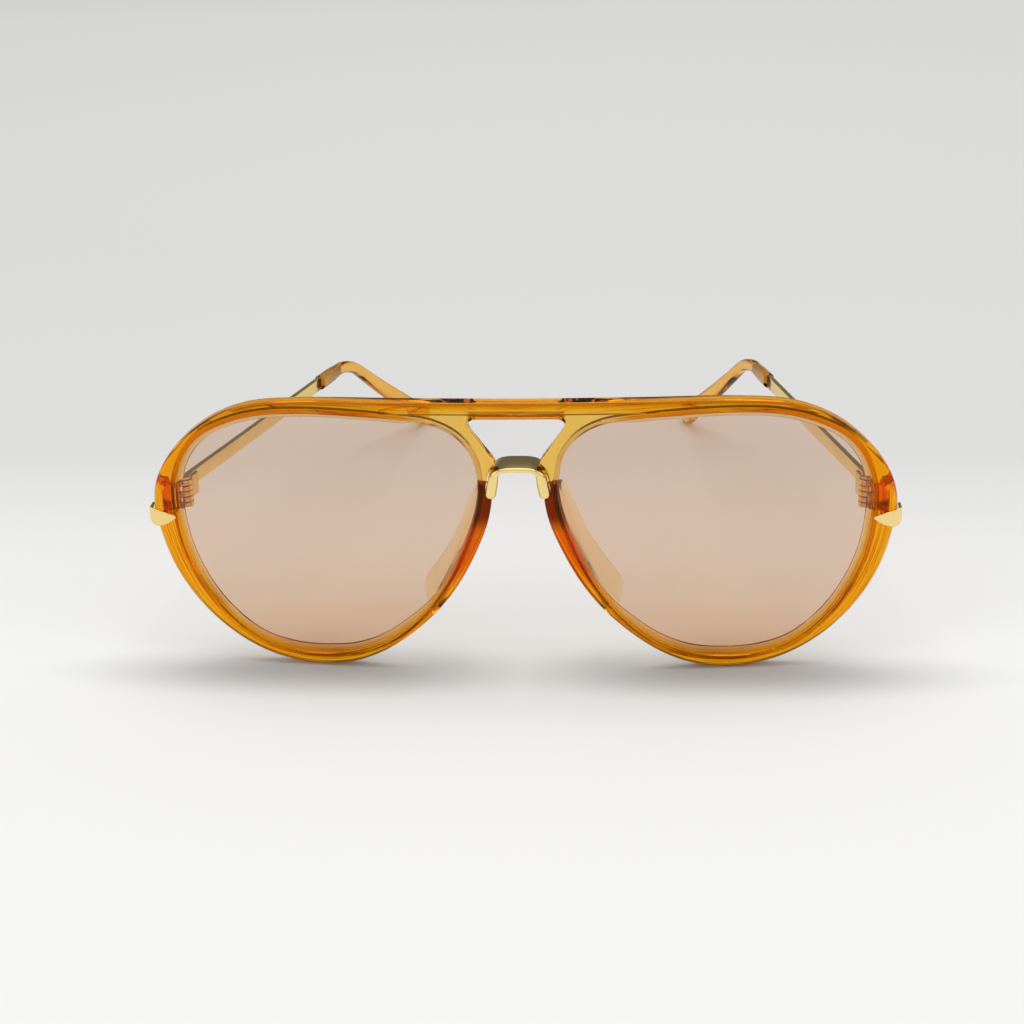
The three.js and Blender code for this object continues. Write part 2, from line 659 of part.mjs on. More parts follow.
for (const [side, sign] of [["left", 1], ["right", -1]]) {
  const sided = (geometry) => (sign > 0 ? bare(geometry) : mirrored(geometry));
  addPiece(front, `lens_${side}`, sided(lens), peachLens);
  addPiece(front, `nose_pad_${side}`, sided(pad), padPlastic);
  addPiece(front, `end_cap_${side}`, sided(cap), goldMetal);

  const hinge = new THREE.Group();
  hinge.position.set(sign * HINGE_X, rivetPlace.y + HINGE_STANDOFF, hingeHeight);
  glasses.add(hinge);
  addPiece(hinge, `hinge_front_leaf_${side}`, sided(frontLeaf), goldMetal);
  addPiece(hinge, `hinge_rivet_low_${side}`, sided(lowRivet), goldMetal);
  addPiece(hinge, `hinge_rivet_high_${side}`, sided(highRivet), goldMetal);
  addPiece(hinge, `hinge_screw_${side}`, sided(screw), goldMetal);

  const temple = new THREE.Group();
  temple.rotation.z = sign * THREE.MathUtils.degToRad(TEMPLE_TOE_IN);
  hinge.add(temple);
  addPiece(temple, `hinge_temple_leaf_${side}`, sided(templeLeaf), goldMetal);

  const sloped = new THREE.Group();
  sloped.position.z = ARM_RISE;
  sloped.rotation.x = -templeDrop;
  temple.add(sloped);
  addPiece(sloped, `temple_arm_${side}`, sided(arm), goldMetal);
  addPiece(sloped, `temple_tip_${side}`, sided(tip), amberTip);
}

// The origin is the middle of the box in plan, at its lowest point.
glasses.updateMatrixWorld(true);
const box = new THREE.Box3().setFromObject(glasses, true);
glasses.position.set(0, -(box.min.y + box.max.y) / 2, -box.min.z);

export default glasses;
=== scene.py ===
"""Aviator sunglasses standing open on a pale floor: amber front, peach lenses, gold metal."""

import math

import bmesh
import bpy
import numpy as np
from mathutils import Matrix, Vector
from mathutils.geometry import delaunay_2d_cdt
from mathutils.kdtree import KDTree


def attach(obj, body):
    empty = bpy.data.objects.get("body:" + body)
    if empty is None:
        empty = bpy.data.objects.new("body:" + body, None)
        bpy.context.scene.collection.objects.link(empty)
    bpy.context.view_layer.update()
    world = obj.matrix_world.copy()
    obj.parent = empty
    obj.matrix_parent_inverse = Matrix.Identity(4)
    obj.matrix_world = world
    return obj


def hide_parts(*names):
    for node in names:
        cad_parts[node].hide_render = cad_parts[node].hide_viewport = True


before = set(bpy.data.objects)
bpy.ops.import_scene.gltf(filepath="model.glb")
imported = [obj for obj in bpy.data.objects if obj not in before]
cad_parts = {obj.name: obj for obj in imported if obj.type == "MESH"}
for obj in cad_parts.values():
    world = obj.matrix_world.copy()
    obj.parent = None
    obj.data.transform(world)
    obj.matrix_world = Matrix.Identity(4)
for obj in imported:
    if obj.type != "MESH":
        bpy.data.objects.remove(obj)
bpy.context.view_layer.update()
MM = 0.001

# ---- camera --------------------------------------------------------------------------------
# In front of the glasses and above them, a little to the wearer's left, looking at the middle
# of the front.

AIM = Vector((-1.26, -71.42, 35.1)) * MM
CAMERA_DISTANCE = 0.3414
CAMERA_ABOVE = math.radians(23.34)
CAMERA_ROUND = math.radians(4.53)
CAMERA_ROLL = math.radians(-1.75)

back = Vector((
    math.sin(CAMERA_ROUND) * math.cos(CAMERA_ABOVE),
    -math.cos(CAMERA_ROUND) * math.cos(CAMERA_ABOVE),
    math.sin(CAMERA_ABOVE),
))
level = Vector((math.cos(CAMERA_ROUND), math.sin(CAMERA_ROUND), 0))
upright = back.cross(level)
right = level * math.cos(CAMERA_ROLL) + upright * math.sin(CAMERA_ROLL)
up = upright * math.cos(CAMERA_ROLL) - level * math.sin(CAMERA_ROLL)
camera = bpy.data.objects.new("camera", bpy.data.cameras.new("camera"))
camera.data.lens = 62.26
camera.data.sensor_width = 36
camera.data.clip_start = 0.01
camera.matrix_world = Matrix.Translation(AIM + back * CAMERA_DISTANCE) @ Matrix(
    (right, up, back)).transposed().to_4x4()
bpy.context.scene.collection.objects.link(camera)
bpy.context.scene.camera = camera

# ---- studio --------------------------------------------------------------------------------
# A pale matt floor under one big soft light above and two at the sides. The floor's colour is
# painted darker towards the back, painted shade for the light falling off. The room behind the
# glasses is dimmer, which gives the metal its dark edges.

bpy.context.scene.view_settings.view_transform = "Standard"


def new_material(name):
    """A node material and its Principled shader."""
    material = bpy.data.materials.new(name)
    material.use_nodes = True
    return material, material.node_tree.nodes["Principled BSDF"]


def add_node(tree, kind, **settings):
    """A shader or geometry node with its properties and sockets set by name."""
    node = tree.nodes.new(kind)
    for name, value in settings.items():
        if name in node.bl_rna.properties:
            setattr(node, name, value)
        else:
            node.inputs[name.replace("_", " ")].default_value = value
    return node


def ramp(tree, factor, stops):
    """A colour ramp on a factor, its stops given as (place, colour)."""
    node = add_node(tree, "ShaderNodeValToRGB")
    elements = node.color_ramp.elements
    for element, (place, colour) in zip(elements, stops):
        element.position, element.color = place, (*colour, 1)
    for place, colour in stops[2:]:
        elements.new(place).color = (*colour, 1)
    tree.links.new(factor, node.inputs["Fac"])
    return node.outputs["Color"]


def own_place(tree, kind="Object"):
    """Where a point lies in the thing's own coordinates, whole and as X, Y and Z."""
    place = add_node(tree, "ShaderNodeTexCoord").outputs[kind]
    split = add_node(tree, "ShaderNodeSeparateXYZ")
    tree.links.new(place, split.inputs["Vector"])
    return place, split.outputs


def wired(tree, links):
    """Joins sockets, given as (from, to), in order."""
    for start, end in links:
        tree.links.new(start, end)


def grey(value):
    return (value, value, value * 0.995)


floor_paper, shader = new_material("floor_paper")
tree = floor_paper.node_tree
shader.inputs["Roughness"].default_value = 0.9
shader.inputs["Specular IOR Level"].default_value = 0.1
place, split = own_place(tree)
# Painted shade: the paper's grey is painted darker towards the back, as the light falls off.
depth = add_node(tree, "ShaderNodeMapRange", From_Min=-0.3, From_Max=0.9)
tree.links.new(split["Y"], depth.inputs["Value"])
paper = ramp(tree, depth.outputs["Result"], [
    (0, grey(0.84)), (1, grey(0.80)), (0.19, grey(0.845)), (0.235, grey(0.81)),
    (0.2925, grey(0.68)), (0.46, grey(0.683)),
])
# A soft pool of painted shadow darkens the paper under the rims.
off_middle = add_node(tree, "ShaderNodeMath", operation="ABSOLUTE")
tree.links.new(split["X"], off_middle.inputs[0])
spot = add_node(tree, "ShaderNodeCombineXYZ")
tree.links.new(off_middle.outputs["Value"], spot.inputs["X"])
tree.links.new(split["Y"], spot.inputs["Y"])
around = add_node(tree, "ShaderNodeMapping", Location=(-0.0074, 0.0715, 0), Scale=(0.185, 1, 1))
tree.links.new(spot.outputs["Vector"], around.inputs["Vector"])
far = add_node(tree, "ShaderNodeVectorMath", operation="LENGTH")
tree.links.new(around.outputs["Vector"], far.inputs[0])
painted_shadow_pool = add_node(tree, "ShaderNodeMapRange", interpolation_type="SMOOTHSTEP",
                From_Min=0.0, From_Max=0.0125, To_Min=0.61, To_Max=1.0)
tree.links.new(far.outputs["Value"], painted_shadow_pool.inputs["Value"])
painted_shadow_paper = add_node(tree, "ShaderNodeVectorMath", operation="SCALE")
tree.links.new(paper, painted_shadow_paper.inputs[0])
tree.links.new(painted_shadow_pool.outputs["Result"], painted_shadow_paper.inputs["Scale"])
tree.links.new(painted_shadow_paper.outputs["Vector"], shader.inputs["Base Color"])
floor_mesh = bpy.data.meshes.new("floor")
floor_mesh.from_pydata([(-4, -4, 0), (4, -4, 0), (4, 4, 0), (-4, 4, 0)], [], [(0, 1, 2, 3)])
floor_mesh.materials.append(floor_paper)
floor = bpy.data.objects.new("floor", floor_mesh)
bpy.context.scene.collection.objects.link(floor)

room = bpy.data.worlds.new("room")
bpy.context.scene.world = room
room.use_nodes = True
tree = room.node_tree
place, split = own_place(tree, "Generated")
walls = ramp(tree, split["Z"], [(0, grey(0.55)), (1, grey(0.90)), (0.55, grey(0.52))])
dark_end = ramp(tree, split["Z"], [
    (0, grey(0.45)), (1, grey(0.92)), (0.2, grey(0.13)), (0.5, grey(0.13)), (0.68, grey(0.85))])
behind = add_node(tree, "ShaderNodeMapRange", interpolation_type="SMOOTHSTEP",
                  From_Min=0.25, From_Max=0.7)
tree.links.new(split["Y"], behind.inputs["Value"])
ends = add_node(tree, "ShaderNodeMix", data_type="RGBA")
tree.links.new(behind.outputs["Result"], ends.inputs["Factor"])
tree.links.new(walls, ends.inputs["A"])
tree.links.new(dark_end, ends.inputs["B"])
tree.links.new(ends.outputs["Result"], tree.nodes["Background"].inputs["Color"])


def soft_light(name, position, size, watts):
    """A rectangular area light aimed at the middle of the glasses."""
    lamp = bpy.data.lights.new(name, "AREA")
    lamp.shape = "RECTANGLE"
    lamp.size, lamp.size_y = size
    lamp.energy = watts
    lamp_object = bpy.data.objects.new(name, lamp)
    lamp_object.location = position
    lamp_object.rotation_euler = (Vector((0, -0.05, 0.03)) - Vector(position)).to_track_quat(
        "-Z", "Y").to_euler()
    bpy.context.scene.collection.objects.link(lamp_object)


soft_light("light_above", (0.0, 0.02, 1.3), (1.1, 0.8), 7.2)
soft_light("light_left", (-1.1, -0.8, 0.7), (0.6, 0.8), 2.4)
soft_light("light_right", (1.1, -0.6, 0.7), (0.6, 0.8), 1.9)

# ---- amber front ---------------------------------------------------------------------------
# One injection moulding of clear amber acetate-like plastic: both rims, the brow bar and the
# plates beside the nose. It is 3 mm thick, its edges are tumbled round and a groove runs round
# the inside of each rim for the lens.

FRONT_DEPTH = 3.0
FRONT_HEIGHT = 57.6
DRAWN_HEIGHT = 59.0
HALF_WIDTH = 72.9
FRONT_WRAP = 5.4
FRONT_DISH = 0.8
FRONT_LEAN = math.radians(1.5)
SET_BACK = -71.41783
EDGE_INSET = 0.07  # the tumbled edge stays this far inside the CAD outline
BAR_ROUND, RIM_ROUND = 0.4, 1.15  # the edges are sharper along the brow bar than round the rims
PLATE_SUNK = 0.5  # the plates beside the nose lie this far behind the bar's face
BAR_FOOT = 55.3
GROOVE = 0.95

RIM_OUTSIDE = [
    (0, 59), (22, 59), (42, 58.8), (51, 57.9), (57, 55.9), (62, 53), (66.3, 49.2), (69.8, 44.8),
    (72, 40.4), (72.9, 35.6), (72.4, 30.4), (70, 21.4), (65.6, 13.4), (59.6, 6.9), (53, 2.6),
    (46.5, 0.5), (40, 0), (34, 0.9), (28.3, 3.4), (22.8, 7.3), (17.4, 12.6), (12, 20.2),
    (8, 28.2), (5.8, 34.2), (4.9, 39.6), (5, 43.4),
]
BROW_EDGE = [(3.9, 46.3), (4.7, 47.3), (9.3, 53.7), (9.4, 54.8), (8.7, 55.4)]
LENS_OPENING = [
    (41, 56.2), (31, 55.9), (22, 55.2), (16, 54.1), (11.6, 51.6), (8.7, 47.6), (7.6, 42),
    (8.2, 36.4), (10.5, 29.2), (14, 21.3), (19.6, 12.9), (26, 7), (33, 3.7), (40, 2.8),
    (46.5, 3.2), (53, 5.3), (59.2, 10.5), (64, 17.7), (67, 26), (68.1, 35), (67.7, 40.8),
    (65.9, 45.8), (62.4, 50.2), (57, 53.4), (50, 55.5),
]
BRIDGE_LINE = [(0, 45.5), (2.4, 45.4), (3.7, 45.0), (4.4, 44.1), (4.7, 42.6), (5.25, 39.6)]
STRAP_HALF = 0.45
LEG_HALF = 1.05


def fitted(points):
    """Outline points at the front's own height."""
    return np.array(points, float) * (1, FRONT_HEIGHT / DRAWN_HEIGHT)


def respaced(points, step, closed=False):
    """The same line with its points evenly spaced along it."""
    line = np.vstack([points, points[:1]]) if closed else np.asarray(points)
    run = np.concatenate([[0], np.cumsum(np.linalg.norm(np.diff(line, axis=0), axis=1))])
    count = max(2, round(run[-1] / step))
    marks = np.linspace(0, run[-1], count + 1)
    spaced = np.stack([np.interp(marks, run, line[:, k]) for k in range(line.shape[1])], -1)
    return spaced[:-1] if closed else spaced


def smooth_line(points, step, closed=False):
    """An even line on a centripetal curve through the points."""
    points = np.asarray(points, float)
    if closed:
        padded = np.vstack([points[-1:], points, points[:2]])
    else:
        padded = np.vstack([2 * points[0] - points[1], points, 2 * points[-1] - points[-2]])
    dense = []
    for a, b, c, d in zip(padded, padded[1:], padded[2:], padded[3:]):
        ab, bc, cd = (math.sqrt(np.linalg.norm(q - p)) for p, q in ((a, b), (b, c), (c, d)))
        leave = ((b - a) / ab - (c - a) / (ab + bc) + (c - b) / bc) * bc
        arrive = ((c - b) / bc - (d - b) / (bc + cd) + (d - c) / cd) * bc
        for t in np.linspace(0, 1, 24, endpoint=False):
            dense.append(
                b * (2 * t**3 - 3 * t**2 + 1) + leave * (t**3 - 2 * t**2 + t)
                + c * (3 * t**2 - 2 * t**3) + arrive * (t**3 - t**2)
            )
    if not closed:
        dense.append(points[-1])
    return respaced(np.array(dense), step, closed)


def inside(points, loop):
    """Which of the points lie inside a closed line."""
    x, y = points[:, :1], points[:, 1:2]
    ax, ay = loop[:, 0], loop[:, 1]
    bx, by = np.roll(ax, -1), np.roll(ay, -1)
    rising = (ay > y) != (by > y)
    level_by = np.where(by == ay, 1e-12, by - ay)
    return (rising & (x < (bx - ax) * (y - ay) / level_by + ax)).sum(1) % 2 == 1


def anticlockwise(loop):
    x, y = loop[:, 0], loop[:, 1]
    area = (x * np.roll(y, -1) - np.roll(x, -1) * y).sum()
    return loop if area > 0 else loop[::-1]


def moved_out(loop, distance):
    """An anticlockwise closed line moved outwards."""
    along = np.roll(loop, -1, 0) - np.roll(loop, 1, 0)
    along /= np.linalg.norm(along, axis=1)[:, None]
    return loop + np.stack([along[:, 1], -along[:, 0]], -1) * np.reshape(distance, (-1, 1))


def softened(loop, rounds):
    """A closed line with its corners rubbed round."""
    for _ in range(rounds):
        loop = (np.roll(loop, 1, 0) + 2 * loop + np.roll(loop, -1, 0)) / 4
    return loop


def strip(line, halves):
    """The outline of a strip along a line."""
    along = np.gradient(line, axis=0)
    along /= np.linalg.norm(along, axis=1)[:, None]
    across = np.stack([-along[:, 1], along[:, 0]], -1) * halves[:, None]
    return np.vstack([line - across, (line + across)[::-1]])


def bridge_line(step):
    """Middle line of the whole bridge and its half width at each point."""
    half = fitted(BRIDGE_LINE)
    line = smooth_line(np.vstack([half[:0:-1] * (-1, 1), half]), step)
    share = np.clip((abs(line[:, 0]) - half[2, 0]) / (half[4, 0] - half[2, 0]), 0, 1)
    return line, STRAP_HALF + (LEG_HALF - STRAP_HALF) * share


def bitten(loop, tool):
    """A closed line with its runs of points inside the tool replaced by the tool's own line."""
    hit = inside(loop, tool)
    start = int(np.argmin(hit))
    loop, hit = np.roll(loop, -start, 0), np.roll(hit, -start)
    held = inside(tool, loop)
    turn = int(np.argmin(held))
    tool, held = np.roll(tool, -turn, 0), np.roll(held, -turn)
    runs = [run for run in np.split(np.arange(len(tool)), np.flatnonzero(np.diff(held)) + 1)
            if held[run[0]]]
    result = []
    for stretch in np.split(np.arange(len(loop)), np.flatnonzero(np.diff(hit)) + 1):
        if not hit[stretch[0]]:
            result.append(loop[stretch])
            continue
        before = loop[stretch[0] - 1]
        after = loop[(stretch[-1] + 1) % len(loop)]
        options = [tool[run[::way]] for run in runs for way in (1, -1)]
        result.append(min(options, key=lambda line: np.linalg.norm(line[0] - before)
                          + np.linalg.norm(line[-1] - after)))
    return np.vstack(result)


def eased(value, start, end):
    """0 before the start, 1 past the end, smooth between."""
    share = np.clip((value - start) / (end - start), 0, 1)
    return share * share * (3 - 2 * share)


def front_place(points):
    """Places points (across, depth, height) of the flat front on the curved, leaning one."""
    points = np.array(points, float)
    x, y, z = points.T
    y = y + FRONT_WRAP * (x / HALF_WIDTH) ** 2 + FRONT_DISH * (2 * z / FRONT_HEIGHT - 1) ** 2
    turned_y = y * math.cos(FRONT_LEAN) - z * math.sin(FRONT_LEAN)
    turned_z = y * math.sin(FRONT_LEAN) + z * math.cos(FRONT_LEAN)
    return np.stack([x, turned_y + SET_BACK, turned_z], -1)


def filled(outer, holes, step, more=()):
    """Flat triangles between an outer line and its holes, with even points inside."""
    borders = [outer, *holes]
    x = np.arange(outer[:, 0].min(), outer[:, 0].max(), step)
    y = np.arange(outer[:, 1].min(), outer[:, 1].max(), step * 0.87)
    grid = np.stack(np.meshgrid(x, y), -1)
    grid[1::2, :, 0] += step / 2
    grid = grid.reshape(-1, 2)
    if len(more):
        more = np.array(more)
        clear = (grid[:, 1] < more[:, 1].min() - 0.5) | (grid[:, 1] > more[:, 1].max() + 0.5)
        grid = np.vstack([grid[clear | (abs(grid[:, 0]) > more[:, 0].max())], more])
    keep = inside(grid, outer)
    for hole in holes:
        keep &= ~inside(grid, hole)
    tree = KDTree(sum(len(border) for border in borders))
    for index, point in enumerate(np.vstack(borders)):
        tree.insert((*point, 0), index)
    tree.balance()
    grid = np.array([p for p in grid[keep] if tree.find((*p, 0))[2] > 0.25 * step])
    points = np.vstack(borders + ([grid] if len(grid) else []))
    edges, start = [], 0
    for border in borders:
        count = len(border)
        edges += [(start + i, start + (i + 1) % count) for i in range(count)]
        start += count
    found = delaunay_2d_cdt([Vector(p) for p in points], edges, [], 0, 1e-5)
    flat = np.array([tuple(p) for p in found[0]])
    faces = np.array([face for face in found[2] if len(face) == 3])
    middles = flat[faces].mean(1)
    keep = inside(middles, outer)
    for hole in holes:
        keep &= ~inside(middles, hole)
    return flat, faces[keep]


def lay_flat(parts, flat, faces, depth, turn):
    """Adds flat triangles at one depth, facing the way of `turn`."""
    points = np.insert(flat, 1, depth, axis=1)
    parts.append((points, [tuple(face[::turn]) for face in faces]))


def lay_wall(parts, loop, profile, turn):
    """Adds the wall swept round a line by a profile of (outwards, depth)."""
    rings = []
    for out, depth in profile:
        x, z = moved_out(loop, out).T
        rings.append(np.stack([x, np.broadcast_to(depth, x.shape), z], -1))
    count = len(loop)
    faces = []
    for row in range(len(rings) - 1):
        for i in range(count):
            j = (i + 1) % count
            face = (row * count + i, row * count + j, (row + 1) * count + j, (row + 1) * count + i)
            faces.append(face[::turn])
    parts.append((np.vstack(rings), faces))


def make_piece(name, parts, materials, place=lambda points: points, sharp=35, seam=0.002):
    """One closed object from lists of (points in mm, faces), its seams merged."""
    points, faces = [], []
    for part_points, part_faces in parts:
        start = sum(len(p) for p in points)
        points.append(place(np.asarray(part_points, float)) * MM)
        faces += [tuple(int(i) + start for i in face) for face in part_faces]
    mesh = bpy.data.meshes.new(name)
    mesh.from_pydata(np.vstack(points).tolist(), [], faces)
    work = bmesh.new()
    work.from_mesh(mesh)
    bmesh.ops.remove_doubles(work, verts=work.verts, dist=seam * MM)
    bmesh.ops.recalc_face_normals(work, faces=work.faces)
    if work.calc_volume(signed=True) < 0:
        bmesh.ops.reverse_faces(work, faces=work.faces)
    work.to_mesh(mesh)
    work.free()
    mesh.polygons.foreach_set("use_smooth", [True] * len(mesh.polygons))
    mesh.set_sharp_from_angle(angle=math.radians(sharp))
    for material in materials:
        mesh.materials.append(material)
    piece = bpy.data.objects.new(name, mesh)
    bpy.context.scene.collection.objects.link(piece)
    return piece


def marbled(tree, scale, colours, detail=3.0):
    """A soft mottle between two close colours, in the material's own space."""
    place = add_node(tree, "ShaderNodeTexCoord")
    noise = add_node(tree, "ShaderNodeTexNoise", Scale=scale, Detail=detail)
    tree.links.new(place.outputs["Object"], noise.inputs["Vector"])
    return noise, ramp(tree, noise.outputs["Fac"], [(0.35, colours[0]), (0.65, colours[1])])


def worn_gloss(tree, shader, noise, low, high):
    """Roughness that wanders between two values with the noise."""
    span = add_node(tree, "ShaderNodeMapRange", To_Min=low, To_Max=high)
    tree.links.new(noise.outputs["Fac"], span.inputs["Value"])
    tree.links.new(span.outputs["Result"], shader.inputs["Roughness"])


def fine_bump(tree, shader, scale, distance, stretch=(1, 1, 1)):
    """A faint unevenness of the surface."""
    place = add_node(tree, "ShaderNodeTexCoord")
    spread = add_node(tree, "ShaderNodeMapping", Scale=stretch)
    noise = add_node(tree, "ShaderNodeTexNoise", Scale=scale, Detail=2.0)
    bump = add_node(tree, "ShaderNodeBump", Strength=0.35, Distance=distance)
    tree.links.new(place.outputs["Object"], spread.inputs["Vector"])
    tree.links.new(spread.outputs["Vector"], noise.inputs["Vector"])
    tree.links.new(noise.outputs["Fac"], bump.inputs["Height"])
    tree.links.new(bump.outputs["Normal"], shader.inputs["Normal"])


def clear_plastic(name, tints, density, colour, ior=1.49):
    """Clear coloured plastic: light is taken up through its whole thickness."""
    material, shader = new_material(name)
    tree = material.node_tree
    shader.inputs["Transmission Weight"].default_value = 1
    shader.inputs["IOR"].default_value = ior
    shader.inputs["Specular Tint"].default_value = (1, 0.5, 0.1, 1)
    noise, tint = marbled(tree, 60, tints)
    tree.links.new(tint, shader.inputs["Base Color"])
    worn_gloss(tree, shader, noise, 0.01, 0.06)
    fine_bump(tree, shader, 180, 0.00004)
    depth = add_node(tree, "ShaderNodeVolumeAbsorption", Color=(*colour, 1), Density=density)
    tree.links.new(depth.outputs["Volume"], tree.nodes["Material Output"].inputs["Volume"])
    return material


amber_plastic = clear_plastic(
    "amber_plastic", [(1, 0.64, 0.02), (1, 0.72, 0.05)], 620, (0.99, 0.79, 0.02))

# The plates are the palest part, and the plastic is darkest where the pads are bonded to it.
tree = amber_plastic.node_tree
shader = tree.nodes["Principled BSDF"]
tint = shader.inputs["Base Color"].links[0].from_socket
place, split = own_place(tree)
beside = add_node(tree, "ShaderNodeMath", operation="ABSOLUTE")
tree.links.new(split["X"], beside.inputs[0])


def zone(limits):
    """A mask that is the product of soft limits, each (socket, none here, full here)."""
    mask = None
    for socket, none, full in limits:
        edge = add_node(tree, "ShaderNodeMapRange", interpolation_type="SMOOTHSTEP",
                        From_Min=none, From_Max=full)
        tree.links.new(socket, edge.inputs["Value"])
        if mask is None:
            mask = edge.outputs["Result"]
            continue
        both = add_node(tree, "ShaderNodeMath", operation="MULTIPLY")
        tree.links.new(mask, both.inputs[0])
        tree.links.new(edge.outputs["Result"], both.inputs[1])
        mask = both.outputs["Value"]
    return mask


def tinted(base, mask, colour):
    """The base colour turned to another where the mask is full."""
    mix = add_node(tree, "ShaderNodeMix", data_type="RGBA")
    tree.links.new(mask, mix.inputs["Factor"])
    tree.links.new(base, mix.inputs["A"])
    mix.inputs["B"].default_value = (*colour, 1)
    return mix.outputs["Result"]


across, height = beside.outputs["Value"], split["Z"]

# Streaks run round the rims: partly the mould's flow lines, partly painted light and shade for the
# refraction in the rounded rims.
flow = add_node(tree, "ShaderNodeUVMap", uv_map="rim")
spread = add_node(tree, "ShaderNodeMapping", Scale=(0.05, 7.0, 1))
streaks = add_node(tree, "ShaderNodeTexNoise", Scale=1.0, Detail=2.0, Roughness=0.6)
tree.links.new(flow.outputs["UV"], spread.inputs["Vector"])
tree.links.new(spread.outputs["Vector"], streaks.inputs["Vector"])
flow_and_painted_refraction = add_node(tree, "ShaderNodeMix", data_type="RGBA", blend_type="MULTIPLY")
flow_and_painted_refraction.inputs["Factor"].default_value = 1
tree.links.new(tint, flow_and_painted_refraction.inputs["A"])
tree.links.new(
    ramp(tree, streaks.outputs["Fac"], [
        (0.36, (0.52, 0.22, 0.1)), (0.66, (1, 1.0, 1.0)), (0.45, (0.98, 0.78, 0.6)),
        (0.52, (1, 0.95, 0.9)),
    ]),
    flow_and_painted_refraction.inputs["B"])
tint = tinted(flow_and_painted_refraction.outputs["Result"], zone([(across, 0.045, 0.066), (height, 0.034, 0.040)]),
              (1, 0.56, 0.01))

# "edge" is about 1 on the bar's top wall and on the lip behind a lens, and -1 along the bar's
# rounded front edge; it places a painted highlight and a painted shade.
edge_tone = add_node(tree, "ShaderNodeAttribute", attribute_name="edge")
painted_edge_highlight = add_node(tree, "ShaderNodeMapRange", From_Min=0.1, From_Max=0.9)
painted_edge_shade = add_node(tree, "ShaderNodeMapRange", From_Min=-0.5, From_Max=-1.0)
for tone in (painted_edge_highlight, painted_edge_shade):
    tree.links.new(edge_tone.outputs["Fac"], tone.inputs["Value"])
# Painted shade: the bar's rounded front edge is painted a dark brown.
tint = tinted(tint, painted_edge_shade.outputs["Result"], (0.42, 0.13, 0.01))
tint = tinted(tint, zone([(across, 0.024, 0.017), (height, 0.0395, 0.042),
                          (height, 0.0557, 0.0553)]), (1, 0.86, 0.58))
tint = tinted(tint, zone([(across, 0.0095, 0.0088), (height, 0.0538, 0.054),
                          (height, 0.0553, 0.0551)]), (0.50, 0.18, 0.02))
tint = tinted(tint, zone([(across, 0.0135, 0.0105), (height, 0.0275, 0.0345),
                          (height, 0.0412, 0.0408)]), (0.20, 0.004, 0.0))
tint = tinted(tint, zone([(across, 0.019, 0.013), (height, 0.016, 0.024),
                          (height, 0.034, 0.029)]), (0.90, 0.26, 0.01))
# Painted highlight: the bar's top wall and the lip behind each lens are painted pale.
tint = tinted(tint, painted_edge_highlight.outputs["Result"], (1, 0.88, 0.60))
tree.links.new(tint, shader.inputs["Base Color"])

rim = smooth_line(fitted(RIM_OUTSIDE), 0.5)
half = np.vstack([rim, respaced(fitted(BROW_EDGE), 0.5)])
whole = anticlockwise(np.vstack([half, (half * (-1, 1))[:0:-1]]))
whole = softened(respaced(whole, 0.5, closed=True), 3)
line, halves = bridge_line(0.3)
leg_recess = anticlockwise(respaced(strip(line, halves + 0.2 - EDGE_INSET), 0.3, closed=True))
whole = softened(respaced(bitten(whole, leg_recess), 0.5, closed=True), 2)
opening = anticlockwise(smooth_line(fitted(LENS_OPENING), 0.6, closed=True))
openings = [opening, anticlockwise(opening * (-1, 1))]

# A quarter round as shares of its radius: inwards from the edge, and back from the face.
EDGE_PROFILE = [
    (1.0, 0), (0.74, 0.03), (0.5, 0.13), (0.29, 0.29), (0.13, 0.5), (0.03, 0.74), (0, 1),
]
edge_round = BAR_ROUND + (RIM_ROUND - BAR_ROUND) * (
    eased(whole[:, 1], 52, 46) * eased(abs(whole[:, 0]), 12, 20))
outer_profile = [(-EDGE_INSET - edge_round * out, edge_round * deep) for out, deep in EDGE_PROFILE]
outer_profile += [(out, FRONT_DEPTH - deep) for out, deep in outer_profile[::-1]]
lip = [(0.35 * out, 0.35 * deep) for out, deep in EDGE_PROFILE]
BACK_LIP = 1.3  # the lip behind a lens reaches this much further in than the one before it
NOSE_LIP = 0.25  # but only this much beside the nose

parts = []
face_edge = moved_out(whole, outer_profile[0][0])
lens_edges = [moved_out(loop, lip[0][0]) for loop in openings]
step_rows = [(x, BAR_FOOT + rise) for rise in (-0.36, -0.2, -0.04, 0.12)
             for x in np.arange(-30, 30.1, 0.75)]
flat, faces = filled(face_edge, lens_edges, 1.6, step_rows)
lay_flat(parts, flat, faces, 0, 1)
lay_flat(parts, flat, faces, FRONT_DEPTH, -1)
lay_wall(parts, whole, outer_profile, 1)
for loop in openings:
    reach = NOSE_LIP + (BACK_LIP - NOSE_LIP) * eased(abs(loop[:, 0]), 14, 24)
    lay_wall(parts, loop, lip + [
        (0, 0.75), (GROOVE, 0.75), (GROOVE, 2.35), (0, 2.37), (0.12 - reach, 2.42),
        (-reach, 2.55), (0.05 - reach, 2.8), (0.3 - reach, 2.93), (0.35, FRONT_DEPTH),
    ], -1)


def plate_place(points):
    """Sinks the front faces of the plates behind the bar, then curves the whole front."""
    x, y, z = np.array(points, float).T
    sunk = PLATE_SUNK * eased(z, BAR_FOOT + 0.1, BAR_FOOT - 0.35) * eased(abs(x), 30, 19)
    sunk = sunk * eased(z, 38, 42)
    return front_place(np.stack([x, y + sunk * np.maximum(0, 1 - y / 0.7), z], -1))


front = make_piece("amber_front", parts, [amber_plastic], plate_place)


def nearest(loop):
    """A search for the nearest point of a line."""
    tree = KDTree(len(loop))
    for index, point in enumerate(loop):
        tree.insert((*point, 0), index)
    tree.balance()
    return tree


